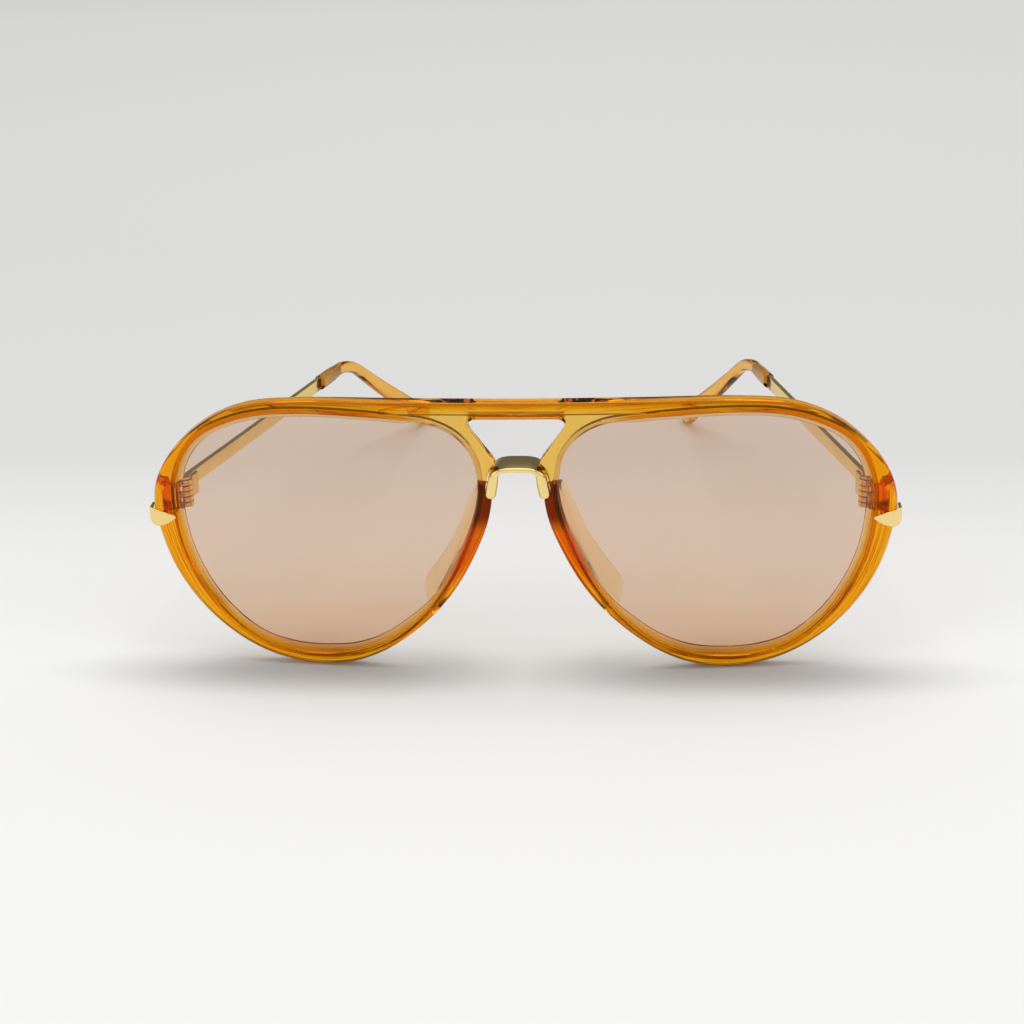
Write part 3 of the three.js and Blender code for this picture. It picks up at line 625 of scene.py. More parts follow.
def laid_flat(point):
    """Where a point of the curved front lies on the flat one: across, depth and height in mm."""
    x, y, z = point / MM
    y -= SET_BACK
    y, z = (y * math.cos(FRONT_LEAN) + z * math.sin(FRONT_LEAN),
            z * math.cos(FRONT_LEAN) - y * math.sin(FRONT_LEAN))
    bend = FRONT_WRAP * (x / HALF_WIDTH) ** 2 + FRONT_DISH * (2 * z / FRONT_HEIGHT - 1) ** 2
    return x, y - bend, z


RIM_MIDDLE = (39, 29)  # the "rim" map turns about the middle of each rim
RIM_RADIUS = 30
BAR_FROM = 50  # the bar's edges are the ones above this height
OPENING_TOP, NEAR_OPENING = 54, 0.9
WALL, FACE_EDGE = 0.12, 0.5  # how far in from the outline its wall and its front edge reach

# Marks each place on the front by how far it is round the rim and across it.
to_outside = nearest(whole)
to_lens = nearest(np.vstack(openings))
edge = front.data.attributes.new("edge", "FLOAT", "POINT")
rim_place = []
for vertex in front.data.vertices:
    x, deep, z = laid_flat(vertex.co)
    outside_gap = to_outside.find((x, z, 0))[2]
    lens_gap = to_lens.find((x, z, 0))[2]
    turn = math.atan2(z - RIM_MIDDLE[1], abs(x) - RIM_MIDDLE[0])
    across_rim = outside_gap / (outside_gap + lens_gap + 1e-6)
    rim_place.append((turn * RIM_RADIUS, across_rim * 2 + x * 0.001))
    in_lens = bool(inside(np.array([(x, z)]), openings[0 if x > 0 else 1])[0])
    if deep > 2.3 and in_lens and lens_gap > 0.3:
        edge.data[vertex.index].value = 0.9
    elif z > BAR_FROM and outside_gap < WALL and 0.3 < deep < 2.7:
        edge.data[vertex.index].value = 1.0
    elif (z > BAR_FROM and WALL < outside_gap < FACE_EDGE and deep < 0.4
          and abs(z - OPENING_TOP) > NEAR_OPENING):
        edge.data[vertex.index].value = -1.0
rim_map = front.data.uv_layers.new(name="rim")
for loop_corner, place in zip(front.data.loops, rim_map.data):
    place.uv = rim_place[loop_corner.vertex_index]
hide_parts("front_frame")
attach(front, "front")

# ---- nose pads -----------------------------------------------------------------------------
# Two solid crescents of clear plastic, bonded behind the rims beside the nose and flared
# outwards. They are nearly clear and only warm what lies behind them.

PAD_OUTLINE = [
    (5.9, 41.4), (5.5, 38), (6.3, 34), (8.4, 28.3), (12.3, 20.6), (17, 13.6), (18.8, 12.2),
    (18.4, 15), (15.4, 20.6), (12.2, 27.6), (9.8, 34.5), (8.1, 40), (7, 42),
]
PAD_FROM, PAD_TO = 3.3, 9.4
PAD_FLARE = 0.24
PAD_TAPER = 0.033

pad_plastic = clear_plastic(
    "pad_plastic", [(1, 0.88, 0.64), (1, 0.93, 0.72)], 80, (0.99, 0.66, 0.12), 1.2)


def pad_place(side):
    def place(points):
        x, y, z = np.array(points, float).T
        run_back = y - PAD_FROM
        x = (x + PAD_FLARE * run_back) * side
        z = FRONT_HEIGHT / 2 + (z - FRONT_HEIGHT / 2) * (1 - PAD_TAPER * run_back)
        return front_place(np.stack([x, y, z], -1))
    return place


pad_loop = anticlockwise(smooth_line(fitted(PAD_OUTLINE), 0.5, closed=True))
pad_profile = [(-0.05 - 0.25 * out, PAD_FROM + 0.25 * deep) for out, deep in EDGE_PROFILE]
pad_profile += [(-0.05 - 0.5 * out, PAD_TO - 2.2 * deep) for out, deep in EDGE_PROFILE[::-1]]
for side, sign in (("left", 1), ("right", -1)):
    parts = []
    for (out, depth), turn in ((pad_profile[0], 1), (pad_profile[-1], -1)):
        flat, faces = filled(moved_out(pad_loop, out), [], 1.2)
        lay_flat(parts, flat, faces, depth, turn)
    lay_wall(parts, pad_loop, pad_profile, 1)
    pad = make_piece(f"nose_pad_{side}_moulded", parts, [pad_plastic], pad_place(sign))
    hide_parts(f"nose_pad_{side}")
    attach(pad, "front")

# ---- lenses --------------------------------------------------------------------------------
# Clear plastic tinted peach in the mass, cast with a gently domed face and ground to the shape
# of the groove that holds it.

LENS_NEAR, LENS_DEPTH = 0.9, 1.3
LENS_GRIP = 0.8
LENS_BULGE = 1.2
LENS_MIDDLE = fitted([(38.5, 31)])[0]
LENS_DOME = fitted([(27, 24)])[0]

peach_lens, shader = new_material("peach_lens")
tree = peach_lens.node_tree
shader.inputs["Transmission Weight"].default_value = 1
shader.inputs["IOR"].default_value = 1.5
place, split = own_place(tree)
cloud = add_node(tree, "ShaderNodeTexNoise", Scale=22.0, Detail=2.0)
tree.links.new(place, cloud.inputs["Vector"])
lifted = add_node(tree, "ShaderNodeMath", operation="MULTIPLY_ADD")
lifted.inputs[1].default_value = 0.012
tree.links.new(cloud.outputs["Fac"], lifted.inputs[0])
tree.links.new(split["Z"], lifted.inputs[2])
fade = add_node(tree, "ShaderNodeMapRange", From_Min=0.004, From_Max=0.06)
tree.links.new(lifted.outputs["Value"], fade.inputs["Value"])
# The tint is darker and more orange towards the bottom of each lens: partly a graded tint, partly
# painted shade for the shade seen low in the lens.
tree.links.new(
    ramp(tree, fade.outputs["Result"], [
        (0, (0.79, 0.49, 0.30)), (1, (0.81, 0.64, 0.53)), (0.35, (0.77, 0.57, 0.43)),
    ]),
    shader.inputs["Base Color"],
)
worn_gloss(tree, shader, cloud, 0.0, 0.03)


def dome(points):
    """Raises the middle of a flat lens and puts it on the curved front."""
    x, y, z = np.array(points, float).T
    across = (abs(x) - LENS_MIDDLE[0]) / LENS_DOME[0]
    upwards = (z - LENS_MIDDLE[1]) / LENS_DOME[1]
    y = y - LENS_BULGE * np.maximum(0, 1 - across**2 - upwards**2) ** 2
    return front_place(np.stack([x, y, z], -1))


for side, loop in zip(("left", "right"), openings):
    edge = moved_out(loop, LENS_GRIP)
    parts = []
    flat, faces = filled(moved_out(edge, -0.15), [], 1.6)
    lay_flat(parts, flat, faces, LENS_NEAR, 1)
    lay_flat(parts, flat, faces, LENS_NEAR + LENS_DEPTH, -1)
    lay_wall(parts, edge, [
        (-0.15, LENS_NEAR), (0, LENS_NEAR + 0.15), (0, LENS_NEAR + LENS_DEPTH - 0.15),
        (-0.15, LENS_NEAR + LENS_DEPTH),
    ], 1)
    lens = make_piece(f"lens_{side}_tinted", parts, [peach_lens], dome)
    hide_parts(f"lens_{side}")
    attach(lens, "front")

# ---- bridge --------------------------------------------------------------------------------
# A saddle pressed from gold plated strip: a thin, deep strap over the nose whose ends are turned
# down into rounded legs. The legs lie in recesses in the plastic.

BRIDGE_NEAR = -1.0
BRIDGE_DEPTH = 6.6
LEG_DEPTH = 3.2


def plated(name, colours, low, high, bump, stretch=(1, 1, 1)):
    """Polished plated metal with a faint wipe of dullness and an uneven polish."""
    material, shader = new_material(name)
    tree = material.node_tree
    shader.inputs["Metallic"].default_value = 1
    noise, tint = marbled(tree, 90, colours)
    tree.links.new(tint, shader.inputs["Base Color"])
    worn_gloss(tree, shader, noise, low, high)
    fine_bump(tree, shader, 400, bump, stretch)
    return material


gold_plate = plated(
    "gold_plate", [(0.88, 0.66, 0.24), (0.93, 0.73, 0.31)], 0.10, 0.20, 0.00002)


def rounded_section(width, height, corner, corner_steps=5):
    """Points round a rectangle with round corners, anticlockwise."""
    corner = min(corner, width / 2 - 1e-3, height / 2 - 1e-3)
    points = []
    for quarter, (sx, sy) in enumerate(((1, 1), (-1, 1), (-1, -1), (1, -1))):
        for step in range(corner_steps + 1):
            angle = math.pi / 2 * (quarter + step / corner_steps)
            points.append((
                sx * (width / 2 - corner) + corner * math.cos(angle),
                sy * (height / 2 - corner) + corner * math.sin(angle),
            ))
    return np.array(points)


def lofted(rings):
    """A closed skin through rings of the same count, its two ends filled."""
    count = len(rings[0])
    faces = [
        (row * count + i, row * count + (i + 1) % count,
         (row + 1) * count + (i + 1) % count, (row + 1) * count + i)
        for row in range(len(rings) - 1) for i in range(count)
    ]
    last = (len(rings) - 1) * count
    faces += [tuple(range(count))[::-1], tuple(range(last, last + count))]
    return np.vstack(rings), faces


line, halves = bridge_line(0.4)
along = np.gradient(line, axis=0)
along /= np.linalg.norm(along, axis=1)[:, None]
leg_top = line[:, 1].max() + STRAP_HALF - LEG_HALF
leg_end = line[:, 1].min() + LEG_HALF
rings = []
run = np.concatenate([[0], np.cumsum(np.linalg.norm(np.diff(line, axis=0), axis=1))])
for point, way, wide, mark in zip(line, along, halves, run):
    down = np.clip((leg_top - point[1]) / (leg_top - leg_end), 0, 1)
    deep = BRIDGE_DEPTH - (BRIDGE_DEPTH - LEG_DEPTH) * down
    to_end = min(mark, run[-1] - mark)
    shrink = 1 - 0.22 * max(0.0, 1 - to_end / 0.5) ** 2
    section = rounded_section(2 * wide * shrink, deep * (0.9 + 0.1 * shrink), 0.36 * wide * 2)
    across = np.array([-way[1], way[0]])
    middle = BRIDGE_NEAR + deep / 2
    rings.append(np.array([
        (point[0] + across[0] * u, middle + v, point[1] + across[1] * u) for u, v in section]))
bridge = make_piece("bridge_saddle", [lofted(rings)], [gold_plate], front_place, sharp=50)
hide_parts("bridge")
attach(bridge, "front")

# ---- end caps ------------------------------------------------------------------------------
# Small gold clips over the widest points of the rims: a half leaf in front, its edges broken by
# tumbling, and a thin wall bent round the outer end of the plastic.


def from_cad(node, name, material, bevel, sharp=40):
    """A copy of a CAD node, merged, with its edges bevelled."""
    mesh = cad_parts[node].data.copy()
    mesh.name = name
    mesh.materials.clear()
    mesh.materials.append(material)
    for layer in list(mesh.uv_layers):
        mesh.uv_layers.remove(layer)
    work = bmesh.new()
    work.from_mesh(mesh)
    bmesh.ops.remove_doubles(work, verts=work.verts, dist=0.00001)
    bmesh.ops.dissolve_limit(
        work, angle_limit=math.radians(2), verts=work.verts, edges=work.edges)
    sharp_edges = [edge for edge in work.edges
                   if edge.is_manifold and edge.calc_face_angle(0) > math.radians(sharp)]
    bmesh.ops.bevel(
        work, geom=sharp_edges, offset=bevel * MM, segments=2, profile=0.6,
        affect="EDGES", clamp_overlap=True)
    bmesh.ops.triangulate(work, faces=work.faces)
    work.to_mesh(mesh)
    work.free()
    mesh.polygons.foreach_set("use_smooth", [True] * len(mesh.polygons))
    mesh.set_sharp_from_angle(angle=math.radians(38))
    piece = bpy.data.objects.new(name, mesh)
    bpy.context.scene.collection.objects.link(piece)
    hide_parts(node)
    return piece


CAP_BEVEL = 0.12

for side in ("left", "right"):
    cap = from_cad(f"end_cap_{side}", f"end_cap_{side}_plated", gold_plate, CAP_BEVEL)
    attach(cap, "front")

# ---- hinges --------------------------------------------------------------------------------
# Five-knuckle hinges of gold plated brass. Three rings belong to the leaf that is riveted behind
# the plastic, two to the leaf on the inside of the arm, and a screw is the pin.

HINGE_AT = (67.1, 9.357078675 + SET_BACK, 35.554956)
TOE_IN = math.radians(10.3)
KNUCKLE_RADIUS = 1.4
KNUCKLES = 5
KNUCKLE_HEIGHT = 1.0
KNUCKLE_GAP = 0.15
KNUCKLE_PITCH = KNUCKLE_HEIGHT + KNUCKLE_GAP
JOINT_GAP = 0.25
LEAF_THICK = 0.8
STANDOFF = 2.193601
WRAP_TURN = math.atan(2 * FRONT_WRAP * 70.5 / HALF_WIDTH**2)
BACK_FACE = (
    Matrix.Translation((3.4, -STANDOFF, 0)) @ Matrix.Rotation(FRONT_LEAN, 4, "X")
    @ Matrix.Rotation(WRAP_TURN, 4, "Z")
)

hinge_brass = plated(
    "hinge_brass", [(0.85, 0.49, 0.10), (0.95, 0.62, 0.17)], 0.12, 0.26, 0.00003)


def new_tree(name, sizes):
    """An empty Geometry Nodes tree with named inputs and one output."""
    tree = bpy.data.node_groups.new(name, "GeometryNodeTree")
    tree.interface.new_socket(name="Geometry", in_out="OUTPUT", socket_type="NodeSocketGeometry")
    for size, value in sizes.items():
        kind = "NodeSocketInt" if isinstance(value, int) else "NodeSocketFloat"
        tree.interface.new_socket(name=size, in_out="INPUT", socket_type=kind).default_value = value
    return tree, tree.nodes.new("NodeGroupInput").outputs, tree.nodes.new("NodeGroupOutput").inputs


def grown(name, tree, sizes):
    """The plain mesh that a Geometry Nodes tree makes with these sizes."""
    host = bpy.data.objects.new(name, bpy.data.meshes.new(name))
    bpy.context.scene.collection.objects.link(host)
    modifier = host.modifiers.new("shape", "NODES")
    modifier.node_group = tree
    for item in tree.interface.items_tree:
        if item.name in sizes:
            modifier[item.identifier] = sizes[item.name]
    bpy.context.view_layer.update()
    made = bpy.data.meshes.new_from_object(host.evaluated_get(
        bpy.context.evaluated_depsgraph_get()))
    bpy.data.objects.remove(host)
    return made


def every_other(tree, inputs, shape, count, step, first, material):
    """Copies of a shape up a line at an even step, made real and given their material."""
    rise = add_node(tree, "ShaderNodeCombineXYZ")
    start = add_node(tree, "ShaderNodeCombineXYZ")
    tree.links.new(inputs[step], rise.inputs["Z"])
    tree.links.new(inputs[first], start.inputs["Z"])
    stack = add_node(tree, "GeometryNodeMeshLine", mode="OFFSET")
    tree.links.new(inputs[count], stack.inputs["Count"])
    tree.links.new(start.outputs["Vector"], stack.inputs["Start Location"])
    tree.links.new(rise.outputs["Vector"], stack.inputs["Offset"])
    copies = add_node(tree, "GeometryNodeInstanceOnPoints")
    tree.links.new(stack.outputs["Mesh"], copies.inputs["Points"])
    tree.links.new(shape, copies.inputs["Instance"])
    real = add_node(tree, "GeometryNodeRealizeInstances")
    tree.links.new(copies.outputs["Instances"], real.inputs["Geometry"])
    finish = add_node(tree, "GeometryNodeSetMaterial", Material=material)
    tree.links.new(real.outputs["Geometry"], finish.inputs["Geometry"])
    return finish.outputs["Geometry"]


knuckle_tree, inputs, outputs = new_tree("knuckles", {
    "Ring Radius": 0.0014, "Ring Height": 0.001, "Edge": 0.00016, "Rings": 3, "Step": 0.0023,
    "First": -0.0023,
})
# A ring is the hull of a wide, short drum and a slim, tall one, which breaks its edges.
body = add_node(knuckle_tree, "GeometryNodeMeshCylinder", Vertices=48)
slim = add_node(knuckle_tree, "GeometryNodeMeshCylinder", Vertices=48)
inner_radius = add_node(knuckle_tree, "ShaderNodeMath", operation="SUBTRACT")
inner_height = add_node(knuckle_tree, "ShaderNodeMath", operation="SUBTRACT")
wired(knuckle_tree, [
    (inputs["Ring Radius"], inner_radius.inputs[0]),
    (inputs["Edge"], inner_radius.inputs[1]),
    (inputs["Ring Height"], inner_height.inputs[0]),
    (inputs["Edge"], inner_height.inputs[1]),
    (inputs["Ring Radius"], body.inputs["Radius"]),
    (inner_height.outputs["Value"], body.inputs["Depth"]),
    (inner_radius.outputs["Value"], slim.inputs["Radius"]),
    (inputs["Ring Height"], slim.inputs["Depth"]),
])
together = add_node(knuckle_tree, "GeometryNodeJoinGeometry")
for part in (body, slim):
    knuckle_tree.links.new(part.outputs["Mesh"], together.inputs["Geometry"])
hull = add_node(knuckle_tree, "GeometryNodeConvexHull")
knuckle_tree.links.new(together.outputs["Geometry"], hull.inputs["Geometry"])
knuckle_tree.links.new(
    every_other(knuckle_tree, inputs, hull.outputs["Convex Hull"], "Rings", "Step", "First",
                hinge_brass),
    outputs["Geometry"])

rivet_tree, inputs, outputs = new_tree("rivets", {
    "Head Radius": 0.00105, "Head Height": 0.00055, "Spread": 0.0056, "Shank Radius": 0.0006,
    "Shank Length": 0.0034, "First": -0.0028, "Rivets": 2,
})
# A rivet is a domed head, half of it under the leaf's face, on a plain shank.
dome_ball = add_node(rivet_tree, "GeometryNodeMeshUVSphere", Segments=32, Rings=16)
dome_size = add_node(rivet_tree, "ShaderNodeCombineXYZ")
head = add_node(rivet_tree, "GeometryNodeTransform")
shank = add_node(rivet_tree, "GeometryNodeMeshCylinder", Vertices=32)
half_length = add_node(rivet_tree, "ShaderNodeMath", operation="MULTIPLY")
half_length.inputs[1].default_value = -0.5
forward = add_node(rivet_tree, "ShaderNodeCombineXYZ")
laid = add_node(rivet_tree, "GeometryNodeTransform", Rotation=(math.pi / 2, 0, 0))
wired(rivet_tree, [
    (inputs["Head Radius"], dome_size.inputs["X"]),
    (inputs["Head Height"], dome_size.inputs["Y"]),
    (inputs["Head Radius"], dome_size.inputs["Z"]),
    (dome_ball.outputs["Mesh"], head.inputs["Geometry"]),
    (dome_size.outputs["Vector"], head.inputs["Scale"]),
    (inputs["Shank Radius"], shank.inputs["Radius"]),
    (inputs["Shank Length"], shank.inputs["Depth"]),
    (inputs["Shank Length"], half_length.inputs[0]),
    (half_length.outputs["Value"], forward.inputs["Y"]),
    (shank.outputs["Mesh"], laid.inputs["Geometry"]),
    (forward.outputs["Vector"], laid.inputs["Translation"]),
])
together = add_node(rivet_tree, "GeometryNodeJoinGeometry")
for part in (head, laid):
    rivet_tree.links.new(part.outputs["Geometry"], together.inputs["Geometry"])
rivet_tree.links.new(
    every_other(rivet_tree, inputs, together.outputs["Geometry"], "Rivets", "Spread", "First",
                hinge_brass),
    outputs["Geometry"])


def slab(size, middle, edge=0.12):
    """A flat plate with its edges broken, as (points, faces), thin along Y."""
    width, depth, height = size
    rings = []
    flat = 0.5 - edge / depth
    for shrink, out in ((edge, -0.5), (0, -flat), (0, flat), (edge, 0.5)):
        section = rounded_section(width - 2 * shrink, height - 2 * shrink, 0.3, 3)
        rings.append(np.array([
            (middle[0] + u, middle[1] + out * depth, middle[2] + v) for u, v in section]))
    return lofted(rings)


def turned(parts, matrix):
    return [
        (np.array([matrix @ Vector(point) for point in points]), faces)
        for points, faces in parts
    ]


def with_mesh(parts, mesh):
    """Adds the points (in mm) and faces of a mesh to the parts."""
    points = np.array([vertex.co for vertex in mesh.vertices]) / MM
    return parts + [(points, [tuple(polygon.vertices) for polygon in mesh.polygons])]


def hinge_place(sign):
    """From the +X hinge's own frame to the row frame, mirrored for the other side."""
    def place(points):
        return (np.array(points, float) + HINGE_AT) * (sign, 1, 1)
    return place


MIDDLE_RING = 2 * KNUCKLE_PITCH
FRONT_RINGS = {"Rings": 3, "Step": MIDDLE_RING * MM, "First": -MIDDLE_RING * MM}
TEMPLE_RINGS = {"Rings": 2, "Step": MIDDLE_RING * MM, "First": -KNUCKLE_PITCH * MM}
HINGE_HEIGHT = KNUCKLES * KNUCKLE_PITCH - KNUCKLE_GAP
PLATE_WIDTH, PLATE_HEIGHT = 1.7, 8.4
TONGUE_WIDTH, TONGUE_MIDDLE = 2.7, -1.1
WEB_WIDTH, WEB_DEPTH, WEB_AT = 1.2, 1.9, 0.95
WEB_HEIGHT = KNUCKLE_HEIGHT - 0.06
LEAF_REACH, LEAF_HEIGHT = 2.8, 4.7
ARM_THICK = 1.15
ARM_HEIGHT = 3.1
ARM_MIDDLE = KNUCKLE_RADIUS - ARM_THICK / 2
ARM_RISE = 1.6
ARM_SLOPE = 0.07639581

leaf_middle = JOINT_GAP + LEAF_THICK / 2
plate = slab((PLATE_WIDTH, LEAF_THICK, PLATE_HEIGHT), (0, leaf_middle, 0))
tongue = slab((TONGUE_WIDTH, LEAF_THICK, HINGE_HEIGHT), (TONGUE_MIDDLE, leaf_middle, 0))
front_webs = [
    slab((WEB_WIDTH, WEB_DEPTH, WEB_HEIGHT), (WEB_AT, -WEB_DEPTH / 2, rise), 0.08)
    for rise in (-MIDDLE_RING, 0, MIDDLE_RING)
]
front_leaf = with_mesh(
    turned([plate, tongue], BACK_FACE) + front_webs, grown("rings", knuckle_tree, FRONT_RINGS))

strip_middle = ARM_MIDDLE - ARM_THICK / 2 - JOINT_GAP - LEAF_THICK / 2
strip_start = KNUCKLE_RADIUS + JOINT_GAP
strip_plate = turned(
    [slab((LEAF_THICK, LEAF_REACH, LEAF_HEIGHT),
          (strip_middle, strip_start + LEAF_REACH / 2, ARM_RISE / 2), 0.1)],
    Matrix.Rotation(-ARM_SLOPE, 4, "X"))
temple_webs = [
    slab((LEAF_THICK, WEB_DEPTH, WEB_HEIGHT), (strip_middle, WEB_DEPTH / 2, rise), 0.08)
    for rise in (-KNUCKLE_PITCH, KNUCKLE_PITCH)
]
temple_leaf = with_mesh(
    strip_plate + temple_webs, grown("rings", knuckle_tree, TEMPLE_RINGS))
temple_leaf = turned(temple_leaf, Matrix.Rotation(TOE_IN, 4, "Z"))

rivets = turned(
    with_mesh([], grown("rivets", rivet_tree, {})),
    BACK_FACE @ Matrix.Translation((0, 1.2, 0)))

screw_rings = []
for radius, height in (
    (0.45, -HINGE_HEIGHT / 2), (0.55, -HINGE_HEIGHT / 2 + 0.1), (0.55, HINGE_HEIGHT / 2 + 0.15),
    (1.0, HINGE_HEIGHT / 2 + 0.15), (1.05, HINGE_HEIGHT / 2 + 0.2), (1.05, HINGE_HEIGHT / 2 + 0.5),
    (0.95, HINGE_HEIGHT / 2 + 0.6),
):
    turns = np.linspace(0, 2 * math.pi, 36, endpoint=False)
    screw_rings.append(np.stack(
        [radius * np.cos(turns), radius * np.sin(turns), np.full(36, height)], -1))
screw = [lofted(screw_rings)]

for side, sign in (("left", 1), ("right", -1)):
    place = hinge_place(sign)
    leaf = make_piece(f"hinge_front_{side}", front_leaf, [hinge_brass], place, seam=0.0001)
    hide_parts(f"hinge_front_leaf_{side}")
    pair = make_piece(f"hinge_rivets_{side}", rivets, [hinge_brass], place, seam=0.0001)
    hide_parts(f"hinge_rivet_low_{side}", f"hinge_rivet_high_{side}")
    pin = make_piece(f"hinge_pin_{side}", screw, [hinge_brass], place, sharp=30)
    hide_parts(f"hinge_screw_{side}")
    for piece in (leaf, pair, pin):
        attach(piece, "front")
    moving = make_piece(f"hinge_temple_{side}", temple_leaf, [hinge_brass], place, seam=0.0001)
    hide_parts(f"hinge_temple_leaf_{side}")
    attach(moving, f"temple_{side}")

# ---- temple arms ---------------------------------------------------------------------------
# Flat gold plated strip, 3.1 mm high and 1.15 mm thick, brushed along its length. A narrower
# core goes on from its end into the plastic tip.

ARM_START = KNUCKLE_RADIUS + JOINT_GAP
ARM_LENGTH = 79.5
CORE_LENGTH = 13
CORE_HEIGHT = 1.8

arm_plate = plated(
    "arm_plate", [(0.90, 0.61, 0.15), (0.95, 0.69, 0.22)], 0.14, 0.26, 0.00002, (1, 0.08, 1))

# The core, from the shoulder back, is left unpolished and shows pale through the clear tip.
tree = arm_plate.node_tree
shader = tree.nodes["Principled BSDF"]
place, split = own_place(tree)
core = add_node(tree, "ShaderNodeMapRange", From_Min=0.0158, From_Max=0.0164)
tree.links.new(split["Y"], core.inputs["Value"])
for name, kind, unpolished in (
    ("Roughness", "FLOAT", 0.5), ("Base Color", "RGBA", (1, 0.85, 0.6, 1)),
):
    mix = add_node(tree, "ShaderNodeMix", data_type=kind)
    tree.links.new(core.outputs["Result"], mix.inputs["Factor"])
    tree.links.new(shader.inputs[name].links[0].from_socket, mix.inputs["A"])
    mix.inputs["B"].default_value = unpolished
    tree.links.new(mix.outputs["Result"], shader.inputs[name])

ARM_TO_HINGE = (
    Matrix.Rotation(TOE_IN, 4, "Z") @ Matrix.Translation((0, 0, ARM_RISE))
    @ Matrix.Rotation(-ARM_SLOPE, 4, "X")
)


def arm_place(sign):
    """From the +X arm's own frame, along Y, to the row frame."""
    to_row = hinge_place(sign)

    def place(points):
        return to_row(np.array([ARM_TO_HINGE @ Vector(point) for point in points]))
    return place


def arm_ring(run, thick, height, corner):
    section = rounded_section(thick, height, corner, 4)
    return np.array([(ARM_MIDDLE + u, run, v) for u, v in section])


shoulder = ARM_LENGTH - JOINT_GAP
rings = [arm_ring(ARM_START, ARM_THICK - 0.3, ARM_HEIGHT - 0.3, 0.1),
         arm_ring(ARM_START + 0.15, ARM_THICK, ARM_HEIGHT, 0.25)]
rings += [arm_ring(run, ARM_THICK, ARM_HEIGHT, 0.25)
          for run in np.linspace(ARM_START + 2, shoulder - 0.15, 16)]
rings += [arm_ring(shoulder, ARM_THICK - 0.2, ARM_HEIGHT - 0.3, 0.1),
          arm_ring(shoulder + 0.02, ARM_THICK - 0.2, CORE_HEIGHT, 0.2),
          arm_ring(ARM_LENGTH + CORE_LENGTH - 0.3, ARM_THICK - 0.2, CORE_HEIGHT, 0.2),
          arm_ring(ARM_LENGTH + CORE_LENGTH, ARM_THICK - 0.6, CORE_HEIGHT - 0.5, 0.1)]
arm = [lofted(rings)]
for side, sign in (("left", 1), ("right", -1)):
    piece = make_piece(f"temple_arm_{side}_strip", arm, [arm_plate], arm_place(sign), sharp=40)
    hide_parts(f"temple_arm_{side}")
    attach(piece, f"temple_{side}")

# ---- temple tips ---------------------------------------------------------------------------
# Paler amber plastic moulded round the arm's core, then bent down behind the ear and curved in
# towards the head, widening to a round end.

TIP_THICK = 2.6
TIP_MOUTH = 3.6
TIP_NECK = 3.0
TIP_WIDTH = 5.0
TIP_BEND_AT = 99.6
TIP_BEND_RADIUS = 25
TIP_LEG = 41.5
TIP_LEG_DROP = math.radians(31.6)
TIP_CURVE_IN = 8
TIP_INSET = 0.06

amber_tip = clear_plastic(
    "amber_tip", [(1, 0.66, 0.20), (1, 0.76, 0.32)], 380, (0.99, 0.78, 0.08), 1.3)


def tip_section(run, share_thick, height):
    """The tip's section at a place along its middle line: centre, direction and rounded outline."""
    bend_start = TIP_BEND_AT - TIP_BEND_RADIUS * math.tan(TIP_LEG_DROP / 2)
    bend_run = TIP_BEND_RADIUS * TIP_LEG_DROP
    past = run - bend_start
    if past <= 0:
        centre, angle = (run, 0.0), 0.0
    elif past <= bend_run:
        angle = past / TIP_BEND_RADIUS
        centre = (bend_start + TIP_BEND_RADIUS * math.sin(angle),
                  TIP_BEND_RADIUS * (math.cos(angle) - 1))
    else:
        angle = TIP_LEG_DROP
        on = past - bend_run
        centre = (bend_start + TIP_BEND_RADIUS * math.sin(angle) + on * math.cos(angle),
                  TIP_BEND_RADIUS * (math.cos(angle) - 1) - on * math.sin(angle))
    thick = (TIP_THICK - 2 * TIP_INSET) * share_thick
    section = rounded_section(thick, height, 0.42 * thick, 6)
    return np.array([
        (ARM_MIDDLE + u, centre[0] + v * math.sin(angle), centre[1] + v * math.cos(angle))
        for u, v in section])


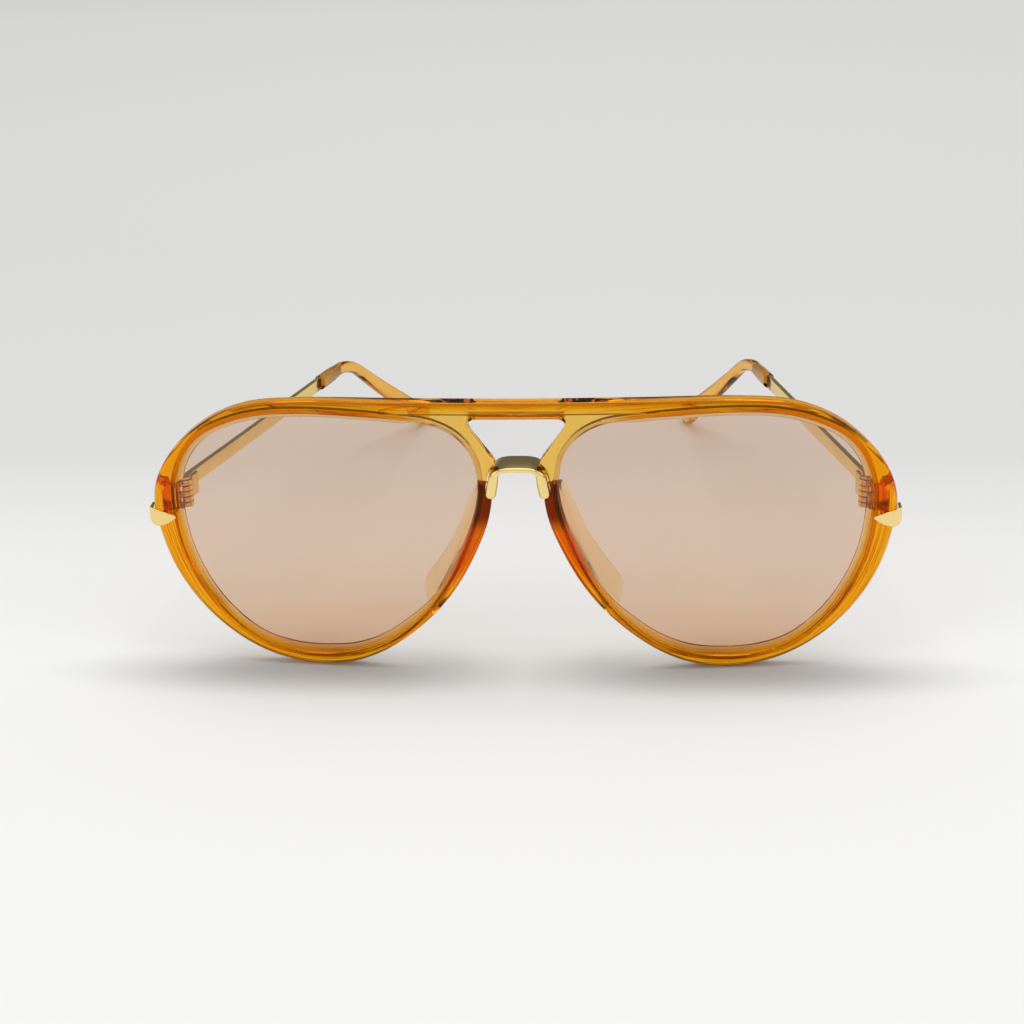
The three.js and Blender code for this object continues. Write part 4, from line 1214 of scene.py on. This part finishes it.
def tip_curved(points):
    """Curves the part behind the core in towards the head."""
    share = np.maximum(0, (points[:, 1] - ARM_LENGTH - CORE_LENGTH) / TIP_REACH)
    return points - np.stack([TIP_CURVE_IN * share**1.5, share * 0, share * 0], -1)


bend_start = TIP_BEND_AT - TIP_BEND_RADIUS * math.tan(TIP_LEG_DROP / 2)
leg_start = bend_start + TIP_BEND_RADIUS * TIP_LEG_DROP
straight = TIP_LEG - TIP_WIDTH / 2
end_y = (bend_start + TIP_BEND_RADIUS * math.sin(TIP_LEG_DROP)
         + (straight + TIP_WIDTH / 2 * math.sin(5 * math.pi / 12)) * math.cos(TIP_LEG_DROP))
TIP_REACH = end_y - ARM_LENGTH - CORE_LENGTH

rings = []
for out, deep in EDGE_PROFILE:
    rings.append(tip_section(ARM_LENGTH + 0.35 * deep, 1 - 0.25 * out,
                             TIP_MOUTH - 2 * TIP_INSET - 0.7 * out))
runs = np.concatenate([
    np.linspace(ARM_LENGTH + 1, bend_start, 12), np.linspace(bend_start, leg_start, 16)[1:],
    np.linspace(leg_start, leg_start + straight, 24)[1:]])
for run in runs:
    if run < bend_start:
        height = np.interp(run, [ARM_LENGTH + 1, (ARM_LENGTH + bend_start) / 2, bend_start],
                           [TIP_MOUTH, TIP_MOUTH, TIP_NECK])
    else:
        height = np.interp(run, [leg_start, leg_start + straight], [TIP_NECK, TIP_WIDTH])
    rings.append(tip_section(run, 1, height - 2 * TIP_INSET))
for step in range(1, 12):
    angle = math.pi / 2 * step / 12
    rings.append(tip_section(
        leg_start + straight + (TIP_WIDTH / 2 - 0.08) * math.sin(angle),
        math.cos(angle) ** 0.55, (TIP_WIDTH - 2 * TIP_INSET) * math.cos(angle)))
points, faces = lofted(rings)
tip = [(tip_curved(points), faces)]
for side, sign in (("left", 1), ("right", -1)):
    piece = make_piece(f"temple_tip_{side}_moulded", tip, [amber_tip], arm_place(sign), sharp=45)
    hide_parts(f"temple_tip_{side}")
    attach(piece, f"temple_{side}")
